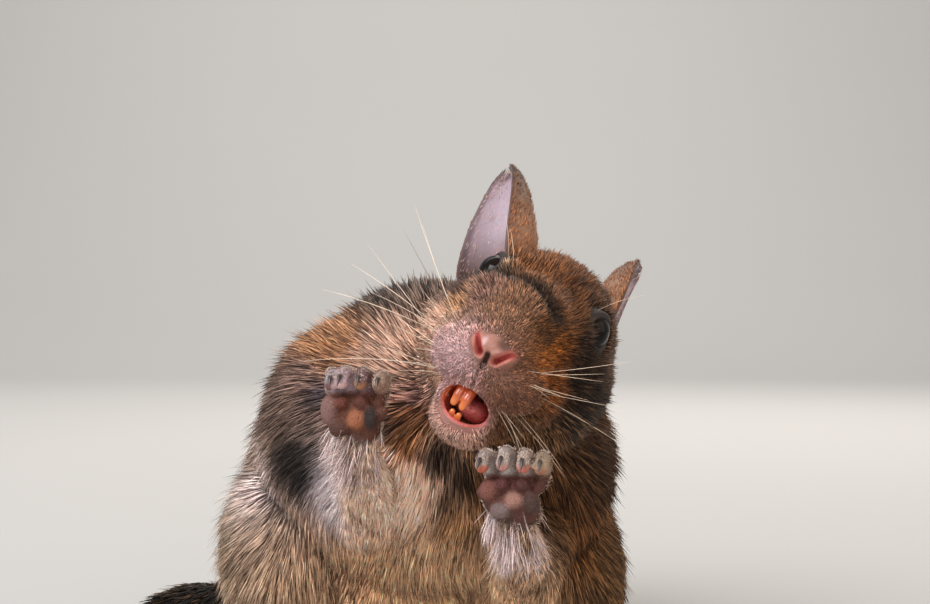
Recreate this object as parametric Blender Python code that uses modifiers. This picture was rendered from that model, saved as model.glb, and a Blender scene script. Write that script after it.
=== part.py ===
"""A degu at life size, sitting up on its haunches with both fore paws raised in a grip.

The head leans to its left with the mouth open. The animal faces -Y, +X is its left side and +Z is
up. The sizes below are in millimetres. The finished nodes are in metres, and the origin is on the
floor under the middle of the whole animal.
"""

import math
import random

import bmesh
import bpy
from mathutils import Matrix, Vector

MM = 0.001
GAP = 0.3 * MM

# Places of the main masses, in millimetres from the origin
NOSE_TIP = Vector((10.9, -92.0, 70.0))
HEAD_ROLL, HEAD_YAW, HEAD_PITCH = 31.5, -11.0, 6.0

CHEST_CENTRE, CHEST_RADII = Vector((2.0, -37.0, 50.0)), (34.0, 30.0, 32.0)
BELLY_CENTRE, BELLY_RADII = Vector((-3.0, -13.0, 37.5)), (37.5, 38.0, 40.0)
RUMP_CENTRE, RUMP_RADII = Vector((-1.0, 5.0, 25.0)), (29.0, 25.5, 28.0)
SHOULDER_RIGHT, SHOULDER_LEFT = Vector((-18.0, -41.0, 53.0)), Vector((21.5, -42.0, 46.0))
SHOULDER_RADII = (16.0, 18.0, 21.0)
NECK_RADII = (20.0, 17.0, 19.5)
TORSO_SPLIT_Y = -24.0

HAUNCH_RADII = (15.0, 27.0, 24.5)
HAUNCH_RIGHT, HAUNCH_LEFT = Vector((-29.0, -23.0, 23.5)), Vector((25.5, -23.0, 23.5))
FOOT_LENGTH = 38.0
HEEL_RIGHT, HEEL_LEFT = Vector((-22.5, -30.0, 0.0)), Vector((21.5, -30.0, 0.0))
FOOT_SPLAY = 8.0

GRIP_RIGHT, GRIP_LEFT = Vector((-11.8, -83.0, 62.6)), Vector((14.6, -90.0, 49.6))
ELBOW_RIGHT, ELBOW_LEFT = Vector((-11.5, -59.0, 39.0)), Vector((17.5, -63.0, 28.0))
GRIP_TURN = -14.0

TAIL_LENGTH, TAIL_ROOT_RADIUS, TAIL_END_RADIUS = 96.0, 5.0, 2.6
TAIL_ROOT = Vector((0.0, 22.0, 12.0))
TUFT_LENGTH, TUFT_RADIUS = 34.0, 5.2
LOCK_COUNT, LOCK_THICKNESS, LOCK_SPLAY = 22, 1.1, 0.34
GOLDEN_ANGLE = math.pi * (3 - math.sqrt(5))

EYE_RADIUS, EYE_PLACE = 3.9, Vector((9.2, 23.4, 9.0))
LID_WIDTH, LID_HEIGHT = 3.3, 2.7
EAR_WIDTH, EAR_WALL, EAR_ROLL = 18.5, 0.9, 78.0
EAR_ROOT = Vector((11.6, 36.5, 11.0))
EAR_TIP_RIGHT, EAR_TIP_LEFT = Vector((-21.0, 45.0, 27.5)), Vector((10.0, 56.0, 21.5))
EAR_OPENS_RIGHT, EAR_OPENS_LEFT = Vector((-0.80, -0.60, 0.0)), Vector((0.95, -0.30, 0.0))
MOUTH_CENTRE, MOUTH_HALF_WIDTH, MOUTH_HALF_HEIGHT = Vector((0.0, 5.8, -11.2)), 4.3, 3.6

COLOURS = {
    "fur": ((0.29, 0.19, 0.11, 1.0), 0.85),
    "belly": ((0.52, 0.42, 0.33, 1.0), 0.85),
    "skin": ((0.55, 0.32, 0.29, 1.0), 0.55),
    "ear": ((0.46, 0.36, 0.36, 1.0), 0.6),
    "eye": ((0.012, 0.008, 0.006, 1.0), 0.08),
    "tooth": ((0.75, 0.28, 0.05, 1.0), 0.3),
    "tongue": ((0.55, 0.13, 0.11, 1.0), 0.35),
    "tail": ((0.12, 0.08, 0.06, 1.0), 0.85),
}


def clear_scene():
    """Empties the scene and makes the two collections."""
    for old in list(bpy.data.objects):
        bpy.data.objects.remove(old, do_unlink=True)
    made = []
    for name in ("degu", "cutters"):
        group = bpy.data.collections.new(name)
        bpy.context.scene.collection.children.link(group)
        made.append(group)
    made[1].hide_render = True
    return made


def turned(x=0.0, y=0.0, z=0.0):
    """A rotation by degrees about X, then Y, then Z."""
    turns = [Matrix.Rotation(math.radians(a), 4, axis) for a, axis in ((x, "X"), (y, "Y"), (z, "Z"))]
    return turns[2] @ turns[1] @ turns[0]


HEAD = (
    Matrix.Translation(NOSE_TIP)
    @ turned(y=HEAD_ROLL)
    @ turned(z=HEAD_YAW)
    @ turned(x=HEAD_PITCH)
)


def mirrored(point, side):
    """A point of the head's left side, or its twin on the right where side is -1."""
    return Vector((point[0] * side, point[1], point[2]))


def add_mass(bm, centre, radii, turn=None, frame=None, fine=3):
    """Adds an ellipsoid, in millimetres, to a bmesh. The frame carries it to its place."""
    place = Matrix.Translation(Vector(centre)) @ (turn or Matrix()) @ Matrix.Diagonal((*radii, 1.0))
    bmesh.ops.create_icosphere(bm, subdivisions=fine, radius=1.0, matrix=(frame or Matrix()) @ place)


def add_limb(bm, points, radii, frame=None, step=0.45):
    """Adds a tapered limb as a row of beads that overlap, from point to point."""
    for start, end, r0, r1 in zip(points, points[1:], radii, radii[1:]):
        start, end = Vector(start), Vector(end)
        beads = max(2, round((end - start).length / (step * min(r0, r1))))
        for i in range(beads + 1):
            t = i / beads
            r = r0 + (r1 - r0) * t
            add_mass(bm, start.lerp(end, t), (r, r, r), frame=frame, fine=2)


def object_of(bm, name, group):
    """Makes an object of a bmesh that is in millimetres."""
    bmesh.ops.scale(bm, vec=(MM, MM, MM), verts=bm.verts)
    mesh = bpy.data.meshes.new(name)
    bm.to_mesh(mesh)
    bm.free()
    made = bpy.data.objects.new(name, mesh)
    group.objects.link(made)
    return made


def settle(made):
    """Applies an object's modifiers to its mesh."""
    graph = bpy.context.evaluated_depsgraph_get()
    mesh = bpy.data.meshes.new_from_object(made.evaluated_get(graph))
    made.modifiers.clear()
    made.data = mesh
    return made


def blend(made, voxel, rounds):
    """Melts overlapping shapes into one closed surface and softens the creases between them."""
    remesh = made.modifiers.new("melt", "REMESH")
    remesh.mode = "VOXEL"
    remesh.voxel_size = voxel * MM
    if rounds:
        soften = made.modifiers.new("soften", "SMOOTH")
        soften.factor = 0.5
        soften.iterations = rounds
    return settle(made)


def thin_out(made, triangles):
    """Brings a mesh down to about this many triangles."""
    mesh = made.data
    mesh.calc_loop_triangles()
    ratio = triangles / len(mesh.loop_triangles)
    if ratio < 1.0:
        fewer = made.modifiers.new("fewer", "DECIMATE")
        fewer.ratio = ratio
    return settle(made)


def largest_shell(made):
    """Keeps only the largest closed surface of a mesh."""
    bm = bmesh.new()
    bm.from_mesh(made.data)
    bmesh.ops.dissolve_degenerate(bm, dist=0.002 * MM, edges=bm.edges)
    bm.verts.ensure_lookup_table()
    left, shells = set(bm.verts), []
    while left:
        stack, shell = [left.pop()], set()
        while stack:
            vert = stack.pop()
            shell.add(vert)
            near = [e.other_vert(vert) for e in vert.link_edges]
            fresh = [v for v in near if v in left]
            left.difference_update(fresh)
            stack.extend(fresh)
        shells.append(shell)
    keep = max(shells, key=len)
    bmesh.ops.delete(bm, geom=[v for v in bm.verts if v not in keep], context="VERTS")
    bm.to_mesh(made.data)
    bm.free()
    return made


def boolean(made, other, operation, solver="EXACT"):
    """Cuts or joins one mesh object by another."""
    step = made.modifiers.new(operation.lower(), "BOOLEAN")
    step.object = other
    step.operation = operation
    step.solver = solver
    return settle(made)


def grown(made, by, group):
    """A copy of an object, its surface moved out by this many metres, to cut a gap with."""
    copy = bpy.data.objects.new(made.name + "_grown", made.data.copy())
    group.objects.link(copy)
    copy.data.calc_loop_triangles()
    normals = [v.normal.copy() for v in copy.data.vertices]
    for vert, normal in zip(copy.data.vertices, normals):
        vert.co += normal * by
    return copy


def cut_clear(made, others, group):
    """Cuts each neighbour out of a node, with the gap between touching meshes."""
    for other in others:
        cutter = grown(other, GAP, group)
        boolean(made, cutter, "DIFFERENCE")
        bpy.data.objects.remove(cutter)
    return largest_shell(made)


def box_cutter(low, high, group, frame=None):
    """A closed box between two corners, in millimetres."""
    low, high = Vector(low), Vector(high)
    bm = bmesh.new()
    size = high - low
    place = Matrix.Translation((low + high) / 2) @ Matrix.Diagonal((*size, 1.0))
    bmesh.ops.create_cube(bm, size=1.0, matrix=(frame or Matrix()) @ place)
    return object_of(bm, "box_cutter", group)


def stand_flat(made, group, level=0.0):
    """Cuts a node off at floor level, which leaves the small flat that it rests on."""
    floor = box_cutter((-300, -300, -80), (300, 300, level), group)
    boolean(made, floor, "DIFFERENCE")
    bpy.data.objects.remove(floor)
    return largest_shell(made)


def finish(made, colour):
    """Gives a node its material and smooth shading."""
    rgba, roughness = COLOURS[colour]
    material = bpy.data.materials.get(colour)
    if material is None:
        material = bpy.data.materials.new(colour)
        material.use_nodes = True
        shader = material.node_tree.nodes["Principled BSDF"]
        shader.inputs["Base Color"].default_value = rgba
        shader.inputs["Roughness"].default_value = roughness
        shader.inputs["Metallic"].default_value = 0.0
    made.data.materials.clear()
    made.data.materials.append(material)
    made.data.shade_smooth()
    made.data.set_sharp_from_angle(angle=math.radians(50))
    return made


def eye_axis(side):
    """The way one eye looks, in the head's frame."""
    return Vector((0.86 * side, -0.42, 0.29)).normalized()


def facing(direction, up=(0.0, 0.0, 1.0)):
    """A rotation that takes +Z to a direction and keeps +Y near up."""
    z = Vector(direction).normalized()
    x = Vector(up).cross(z).normalized()
    y = z.cross(x)
    return Matrix((x, y, z)).transposed().to_4x4()


def head_masses(bm):
    """The skull's large forms: cranium, cheeks, bridge and muzzle, and the dropped jaw."""
    add_mass(bm, (0, 33, 4.0), (15.8, 17.0, 15.0), frame=HEAD)
    add_mass(bm, (0, 21, 3.6), (10.8, 15.5, 10.8), turned(x=14), HEAD)
    add_mass(bm, (0, 11.5, -0.6), (8.8, 11.6, 8.4), turned(x=10), HEAD)
    for side in (1, -1):
        add_mass(bm, (9.0 * side, 30, -3.0), (10.2, 15.0, 13.0), turned(z=-5 * side), HEAD)
        add_mass(bm, (6.2 * side, 19, -4.6), (7.4, 11.0, 8.4), frame=HEAD)
        add_mass(bm, (7.6 * side, 21, 6.2), (5.2, 8.0, 6.0), frame=HEAD)
    add_mass(bm, (0, 21, -12.6), (8.6, 13.0, 6.4), turned(x=-14), HEAD)
    add_mass(bm, (0, 12.0, -15.4), (6.0, 7.8, 3.9), turned(x=-10), HEAD)


def add_ring(bm, centre, half_width, half_height, bead, depth, turn=None, beads=26):
    """Adds a closed ring of beads, such as a lip or a lid. The depth is a function of the angle."""
    for i in range(beads):
        angle = 2 * math.pi * i / beads
        place = Vector((half_width * math.cos(angle), half_height * math.sin(angle), depth(angle)))
        place = turn @ place if turn else Vector((place.x, place.z, place.y))
        add_mass(bm, centre + place, (bead, bead, bead), frame=HEAD, fine=2)


def face_details(bm):
    """The small raised forms: nose pad, whisker pads, lips and the lids round each eye."""
    add_mass(bm, (0, 1.9, 0.2), (3.4, 2.6, 2.5), frame=HEAD)
    add_mass(bm, (0, 4.0, -3.4), (2.6, 2.8, 3.4), frame=HEAD)
    for side in (1, -1):
        add_mass(bm, (2.2 * side, 1.5, 0.0), (2.1, 1.9, 2.0), frame=HEAD)
        add_mass(bm, (5.2 * side, 7.4, -3.9), (5.4, 6.8, 5.0), turned(z=-16 * side), HEAD)
        eye = mirrored(EYE_PLACE, side)
        look = facing(eye_axis(side))
        add_mass(bm, eye, (EYE_RADIUS + 0.5,) * 3, frame=HEAD)
        out = math.sqrt(EYE_RADIUS ** 2 - LID_WIDTH ** 2) + 0.55
        add_ring(bm, eye, LID_WIDTH + 0.5, LID_HEIGHT + 0.5, 0.72, lambda a: out + 0.9 * abs(math.sin(a)), look)
    add_ring(
        bm,
        MOUTH_CENTRE,
        MOUTH_HALF_WIDTH + 0.5,
        MOUTH_HALF_HEIGHT + 0.4,
        1.0,
        lambda a: 2.8 * math.cos(a) ** 2 - 0.9 - 0.9 * math.sin(a),
    )


def carve_face(head, group):
    """Cuts the sockets with their lid slits, the nostrils, the philtrum and the mouth's hollow."""
    bm = bmesh.new()
    for side in (1, -1):
        eye = mirrored(EYE_PLACE, side)
        reach = EYE_RADIUS + 1.4 * GAP / MM
        add_mass(bm, eye, (reach, reach, reach), frame=HEAD, fine=2)
    sockets = object_of(bm, "sockets", group)
    boolean(head, sockets, "DIFFERENCE")
    for side in (1, -1):
        bm = bmesh.new()
        eye = mirrored(EYE_PLACE, side)
        look = facing(eye_axis(side))
        opening_at = eye + eye_axis(side) * (EYE_RADIUS + 0.6)
        add_mass(bm, opening_at, (LID_WIDTH - 0.15, LID_HEIGHT - 0.15, 3.4), look, HEAD)
        opening = object_of(bm, "lid_opening", group)
        boolean(head, opening, "DIFFERENCE")
    for side in (1, -1):
        bm = bmesh.new()
        for x, y, z, radius in ((2.0, 0.4, -0.7, 0.75), (2.5, 0.3, -0.1, 0.7), (3.1, 0.7, 0.6, 0.5), (3.7, 1.4, 0.8, 0.4)):
            add_mass(bm, (x * side, y, z), (radius, 1.7, radius), frame=HEAD, fine=2)
        nostril = object_of(bm, "nostril", group)
        blend(nostril, 0.16, 3)
        thin_out(nostril, 150)
        boolean(head, nostril, "DIFFERENCE")
    bm = bmesh.new()
    add_mass(bm, (0, 0.7, -4.2), (0.32, 1.2, 3.4), turned(x=-16), HEAD, fine=2)
    boolean(head, object_of(bm, "philtrum", group), "DIFFERENCE")
    bm = bmesh.new()
    hollow = MOUTH_CENTRE + Vector((0, 5.0, 0.2))
    add_mass(bm, hollow, (MOUTH_HALF_WIDTH, 10.5, MOUTH_HALF_HEIGHT), turned(x=-6), HEAD)
    boolean(head, object_of(bm, "mouth", group), "DIFFERENCE")
    return largest_shell(head)


def make_head(nodes, cutters):
    """The head, with the lower jaw parted from it by a thin cut."""
    bm = bmesh.new()
    head_masses(bm)
    head = object_of(bm, "head", nodes)
    blend(head, 0.8, 22)
    bm = bmesh.new()
    bm.from_mesh(head.data)
    bmesh.ops.scale(bm, vec=(1 / MM,) * 3, verts=bm.verts)
    face_details(bm)
    bpy.data.objects.remove(head)
    head = object_of(bm, "head", nodes)
    blend(head, 0.45, 4)
    thin_out(head, 1900)
    carve_face(head, cutters)
    jaw_box = box_cutter((-30, -8, -40), (30, 23, MOUTH_CENTRE.z), cutters, HEAD)
    jaw = bpy.data.objects.new("lower_jaw", head.data.copy())
    nodes.objects.link(jaw)
    boolean(jaw, jaw_box, "INTERSECT")
    largest_shell(jaw)
    cut_clear(head, [jaw_box], cutters)
    return finish(head, "fur"), finish(jaw, "belly")


def make_eye(nodes, side, name):
    """One eyeball, round and dark, set in its socket."""
    bm = bmesh.new()
    place = HEAD @ Matrix.Translation(mirrored(EYE_PLACE, side)) @ facing(eye_axis(side))
    bmesh.ops.create_uvsphere(bm, u_segments=14, v_segments=8, radius=EYE_RADIUS, matrix=place)
    return finish(object_of(bm, name, nodes), "eye")


def ear_sheet(bm, length, frame):
    """The ear's curved sheet: broad at its root, rounded at its tip and rolled into a cup."""
    rows, columns = 8, 7
    bmesh.ops.create_grid(bm, x_segments=columns, y_segments=rows, size=1.0)
    for vert in bm.verts:
        across, up = vert.co.x, (vert.co.y + 1) / 2
        half = 0.5 * EAR_WIDTH * (0.86 + 0.5 * up) * max(0.1, 1 - up ** 2.6) ** 0.55
        roll = math.radians(EAR_ROLL - 36 * up)
        angle = across * roll
        radius = half / roll
        rise = length * up - 2.2 * across ** 2 * (1 - up)
        lean = 1.6 * up * up
        vert.co = Vector((radius * math.sin(angle), radius * (math.cos(angle) - math.cos(roll)) + lean, rise))
    bmesh.ops.transform(bm, matrix=frame, verts=bm.verts)


def make_ear(nodes, cutters, head, side, name, tip, opens):
    """One ear: a thin cup, rooted on the head's surface and open the way that is given."""
    root = mirrored(EAR_ROOT, side)
    up = (tip - root).normalized()
    back = -(opens - up * opens.dot(up)).normalized()
    stand = Matrix((back.cross(up), back, up)).transposed().to_4x4()
    bm = bmesh.new()
    ear_sheet(bm, (tip - root).length, HEAD @ Matrix.Translation(root) @ stand)
    ear = object_of(bm, name, nodes)
    wall = ear.modifiers.new("wall", "SOLIDIFY")
    wall.thickness = EAR_WALL * MM
    wall.offset = 0.0
    wall.use_even_offset = True
    settle(ear)
    bm = bmesh.new()
    bm.from_mesh(ear.data)
    bmesh.ops.recalc_face_normals(bm, faces=bm.faces)
    bm.to_mesh(ear.data)
    bm.free()
    cut_clear(ear, [head], cutters)
    return finish(ear, "ear")


def make_teeth(nodes, cutters, head, jaw):
    """Two pairs of long curved incisors, the upper from the head and the lower from the jaw."""
    upper_root, lower_root = Vector((0, 8.0, -5.8)), Vector((0, 9.6, -16.4))
    made = []
    for name, root, rise, half, parent in (
        ("incisors_upper", upper_root, -4.9, 0.86, head),
        ("incisors_lower", lower_root, 4.9, 0.70, jaw),
    ):
        bm = bmesh.new()
        for side in (1, -1):
            points = [root + Vector((half * side, -2.2 * math.sin(1.3 * t), rise * t)) for t in (0, 0.35, 0.7, 1)]
            add_limb(bm, points, (0.92, 0.92, 0.88, 0.6), HEAD)
        teeth = object_of(bm, name, nodes)
        blend(teeth, 0.22, 1)
        thin_out(teeth, 200)
        cut_clear(teeth, [parent], cutters)
        made.append(finish(teeth, "tooth"))
    return made


def make_tongue(nodes, cutters, head, jaw):
    """The tongue, low in the open mouth and just behind the lower teeth."""
    bm = bmesh.new()
    add_mass(bm, (0, 17.2, -12.6), (2.9, 6.2, 1.9), turned(x=-10), HEAD)
    tongue = object_of(bm, "tongue", nodes)
    thin_out(tongue, 140)
    cut_clear(tongue, [head, jaw], cutters)
    return finish(tongue, "tongue")


def make_torso(nodes, cutters, head, jaw):
    """The trunk, whole, then parted into chest and belly by a thin cut."""
    bm = bmesh.new()
    add_mass(bm, CHEST_CENTRE, CHEST_RADII, turned(x=-20))
    add_mass(bm, BELLY_CENTRE, BELLY_RADII)
    add_mass(bm, RUMP_CENTRE, RUMP_RADII)
    for centre in (SHOULDER_RIGHT, SHOULDER_LEFT):
        add_mass(bm, centre, SHOULDER_RADII)
    trunk = object_of(bm, "trunk", nodes)
    blend(trunk, 1.4, 14)
    thin_out(trunk, 1300)
    stand_flat(trunk, cutters)
    cut_clear(trunk, [head, jaw], cutters)
    made = []
    for name, low, high in (
        ("chest", -200.0, TORSO_SPLIT_Y - 0.15),
        ("belly_and_rump", TORSO_SPLIT_Y + 0.15, 200.0),
    ):
        piece = bpy.data.objects.new(name, trunk.data.copy())
        nodes.objects.link(piece)
        slab = box_cutter((-200, low, -50), (200, high, 200), cutters)
        boolean(piece, slab, "INTERSECT")
        made.append(finish(largest_shell(piece), "fur"))
    bpy.data.objects.remove(trunk)
    return made


def make_neck(nodes, cutters, neighbours):
    """The short thick neck between head and chest."""
    skull_back = HEAD @ Vector((0, 36, 0))
    bm = bmesh.new()
    add_mass(bm, skull_back.lerp(CHEST_CENTRE, 0.34), NECK_RADII, turned(y=14))
    add_mass(bm, skull_back.lerp(CHEST_CENTRE, 0.16), (17, 15, 16), turned(y=20))
    neck = object_of(bm, "neck", nodes)
    blend(neck, 1.0, 8)
    thin_out(neck, 360)
    cut_clear(neck, neighbours, cutters)
    return finish(neck, "fur")


def make_haunch(nodes, cutters, centre, torso, side_name, tilt):
    """One thigh, the large round form at the side of the belly."""
    bm = bmesh.new()
    add_mass(bm, centre, HAUNCH_RADII, turned(x=-14, y=tilt))
    haunch = object_of(bm, "thigh_" + side_name, nodes)
    thin_out(haunch, 380)
    stand_flat(haunch, cutters, 1.2)
    cut_clear(haunch, torso, cutters)
    return finish(haunch, "fur")


def add_claw(bm, root, tip, radius, frame):
    """A slim claw that tapers from its root to its tip."""
    root, tip = Vector(root), Vector(tip)
    length = (tip - root).length
    place = Matrix.Translation((root + tip) / 2) @ (tip - root).to_track_quat("Z", "Y").to_matrix().to_4x4()
    bmesh.ops.create_cone(
        bm, cap_ends=True, segments=7, radius1=radius, radius2=0.12, depth=length, matrix=frame @ place
    )


def make_foot(nodes, cutters, heel, neighbours, side, side_name):
    """One long hind foot, flat on the floor, with four toes and a short inner one."""
    frame = Matrix.Translation(heel) @ turned(z=FOOT_SPLAY * side)
    ball = -0.62 * FOOT_LENGTH
    bm = bmesh.new()
    add_limb(bm, [(0, 8, 8), (0, 0, 4.4), (0, ball * 0.5, 3.6), (0, ball, 3.2)], (4.6, 4.4, 4.2, 4.4), frame)
    toes = ((-3.7, 9.6), (-1.3, 12.6), (1.3, 12.8), (3.7, 9.8))
    for offset, reach in toes:
        knuckle = Vector((offset * 1.1, ball - 0.45 * reach, 3.3))
        tip = Vector((offset * 1.35, ball - reach, 1.5))
        add_limb(bm, [(offset * 0.8, ball, 2.6), knuckle, tip], (2.0, 1.6, 1.35), frame)
    add_limb(bm, [(-4.4 * side, ball * 0.7, 2.4), (-5.4 * side, ball * 0.98, 1.5)], (1.5, 1.1), frame)
    foot = object_of(bm, "foot_" + side_name, nodes)
    blend(foot, 0.5, 3)
    thin_out(foot, 500)
    bm = bmesh.new()
    for offset, reach in toes:
        tip = Vector((offset * 1.35, ball - reach, 1.6))
        add_claw(bm, tip, tip + Vector((offset * 0.05, -3.4, -0.9)), 0.75, frame)
    claws = object_of(bm, "claws", cutters)
    boolean(foot, claws, "UNION")
    stand_flat(foot, cutters)
    cut_clear(foot, neighbours, cutters)
    return finish(foot, "skin")


def digit_path(offset, scale):
    """Points of one finger that hooks forward over a wire, in the hand's frame."""
    fan = 1.0 + 0.1 * scale
    return [
        Vector((offset, 0.9, -2.0)),
        Vector((offset * fan, 1.9, 0.8 * scale)),
        Vector((offset * fan * 1.02, 1.2, 2.7 * scale)),
        Vector((offset * fan * 1.03, -0.9, 3.1 * scale)),
        Vector((offset * fan * 1.04, -2.2, 1.9 * scale)),
    ]


def make_hand(nodes, cutters, grip, forearm, side, side_name):
    """One fore paw: a padded palm that faces forward, four hooked fingers and a small thumb."""
    frame = Matrix.Translation(grip) @ turned(z=GRIP_TURN)
    bm = bmesh.new()
    add_mass(bm, (0, 1.2, -4.4), (5.0, 2.7, 4.4), frame=frame)
    for offset, height, radius in ((-2.5, -6.3, 2.3), (2.3, -6.6, 2.2), (-3.2, -2.9, 1.5), (0, -2.6, 1.6), (3.2, -2.9, 1.5)):
        add_mass(bm, (offset, -1.0, height), (radius, 1.5, radius), frame=frame)
    fingers = ((-3.9, 0.86), (-1.4, 1.0), (1.4, 1.0), (3.9, 0.84))
    for offset, scale in fingers:
        add_limb(bm, digit_path(offset, scale), (1.2, 1.2, 1.15, 1.15, 1.2), frame)
    add_limb(bm, [(-4.0 * side, 0.4, -4.0), (-5.3 * side, -0.8, -3.0)], (1.3, 0.9), frame)
    hand = object_of(bm, "hand_" + side_name, nodes)
    blend(hand, 0.34, 2)
    thin_out(hand, 600)
    bm = bmesh.new()
    for offset, scale in fingers:
        path = digit_path(offset, scale)
        tip = path[-1] + Vector((0, -0.3, 0.5))
        add_claw(bm, tip, tip + Vector((0, -2.3, -1.0)), 0.6, frame)
    claws = object_of(bm, "claws", cutters)
    boolean(hand, claws, "UNION")
    cut_clear(hand, [forearm], cutters)
    return finish(hand, "skin")


def make_arm(nodes, cutters, shoulder, elbow, grip, torso, side_name):
    """One fore leg above the paw, as an upper arm and a forearm parted at the elbow."""
    wrist = grip + turned(z=GRIP_TURN) @ Vector((0, 3.2, -8.6))
    made = []
    for name, points, radii, clear in (
        ("forearm_", [elbow, elbow.lerp(wrist, 0.5), wrist], (7.2, 6.0, 3.9), []),
        ("upper_arm_", [shoulder, shoulder.lerp(elbow, 0.6), elbow], (10.0, 9.0, 7.6), []),
    ):
        bm = bmesh.new()
        add_limb(bm, points, radii, step=0.35)
        limb = object_of(bm, name + side_name, nodes)
        blend(limb, 0.8, 6)
        thin_out(limb, 220)
        cut_clear(limb, [*torso, *made], cutters)
        made.append(finish(limb, "fur"))
    return made


def tail_point(t):
    """The tail's middle line, from its root down to the floor and round to the animal's right."""
    sweep = math.radians(168) * t
    radius = TAIL_LENGTH / math.radians(168)
    x = TAIL_ROOT.x - radius * (1 - math.cos(sweep)) * 0.94
    y = TAIL_ROOT.y - 6 + radius * math.sin(sweep) + 8 * t
    rest = TAIL_END_RADIUS + (TAIL_ROOT_RADIUS - TAIL_END_RADIUS) * (1 - t)
    drop = max(0.0, 1 - t / 0.22) ** 2
    return Vector((x, y, rest - 0.25 + drop * (TAIL_ROOT.z - rest)))


def tail_radius(t):
    """The tail's radius with its short coat."""
    return TAIL_ROOT_RADIUS + (TAIL_END_RADIUS - TAIL_ROOT_RADIUS) * t ** 0.8


def make_tail(nodes, cutters, belly):
    """The tail in three lengths, each a tapered tube of its own."""
    made = []
    for index, (start, end) in enumerate(((0.0, 0.34), (0.34, 0.67), (0.67, 1.0))):
        bm = bmesh.new()
        steps = 9
        stops = [start + (end - start) * i / steps for i in range(steps + 1)]
        points = [tail_point(t) for t in stops]
        radii = [tail_radius(t) for t in stops]
        add_limb(bm, points, radii, step=0.4)
        length = object_of(bm, f"tail_{index + 1}", nodes)
        blend(length, 0.7, 4)
        thin_out(length, 220)
        stand_flat(length, cutters)
        cut_clear(length, made[-1:] or [belly], cutters)
        made.append(finish(length, "tail"))
    return made


def shape_lock(root, ahead, out, length, width, bend, group):
    """One flat, tapered lock of hair. It leaves its root at a slant and bends back along its lie."""
    bm = bmesh.new()
    bmesh.ops.create_uvsphere(bm, u_segments=5, v_segments=5, radius=1.0)
    side = out.cross(ahead).normalized()
    for vert in bm.verts:
        t = (vert.co.z + 1) / 2
        taper = 1.3 - 0.8 * t
        middle = root + ahead * length * t + out * length * (LOCK_SPLAY * t - bend * t * t)
        middle.z = max(middle.z, LOCK_THICKNESS / 2)
        across, through = vert.co.x * width / 2, vert.co.y * LOCK_THICKNESS / 2
        vert.co = middle + (side * across + out * through) * taper
    return object_of(bm, "lock", group)


def make_tuft(nodes, cutters, tail_end):
    """The black brush at the tail's end: a short core that carries rings of overlapping locks."""
    ahead = (tail_point(1.0) - tail_point(0.97)).normalized()
    ahead.z = 0.0
    start = tail_point(1.0) - ahead * 8
    start.z = TUFT_RADIUS * 0.62
    core_length = 0.5 * TUFT_LENGTH
    bm = bmesh.new()
    points = [start + ahead * core_length * t for t in (0.0, 0.35, 0.7, 1.0)]
    add_limb(bm, points, (2.7, 3.1, 2.8, 1.9), step=0.4)
    tuft = object_of(bm, "tail_tuft", nodes)
    blend(tuft, 0.7, 3)
    thin_out(tuft, 160)
    locks = bpy.data.collections.new("locks")
    bpy.context.scene.collection.children.link(locks)
    up = Vector((0, 0, 1))
    for i in range(LOCK_COUNT):
        t = i / (LOCK_COUNT - 1)
        angle = i * GOLDEN_ANGLE + random.uniform(-0.2, 0.2)
        out = up * math.cos(angle) + up.cross(ahead) * math.sin(angle)
        root = start + ahead * core_length * (0.08 + 0.84 * t) + out * 1.0
        length = TUFT_LENGTH * (0.46 + 0.12 * t) * random.uniform(0.9, 1.05)
        shape_lock(root, ahead, out, length, random.uniform(3.0, 3.8), random.uniform(0.14, 0.22), locks)
    fuse = tuft.modifiers.new("fuse", "BOOLEAN")
    fuse.operation = "UNION"
    fuse.operand_type = "COLLECTION"
    fuse.collection = locks
    fuse.solver = "MANIFOLD"
    settle(tuft)
    for lock in list(locks.objects):
        bpy.data.objects.remove(lock)
    bpy.data.collections.remove(locks)
    stand_flat(tuft, cutters)
    cut_clear(tuft, [tail_end], cutters)
    return finish(tuft, "tail")


def centre_on_floor(nodes):
    """Moves the whole animal so that the origin is on the floor, under its middle."""
    points = [v.co for node in nodes.objects for v in node.data.vertices]
    middle_x = (min(p.x for p in points) + max(p.x for p in points)) / 2
    middle_y = (min(p.y for p in points) + max(p.y for p in points)) / 2
    for node in nodes.objects:
        node.data.transform(Matrix.Translation((-middle_x, -middle_y, 0)))


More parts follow.
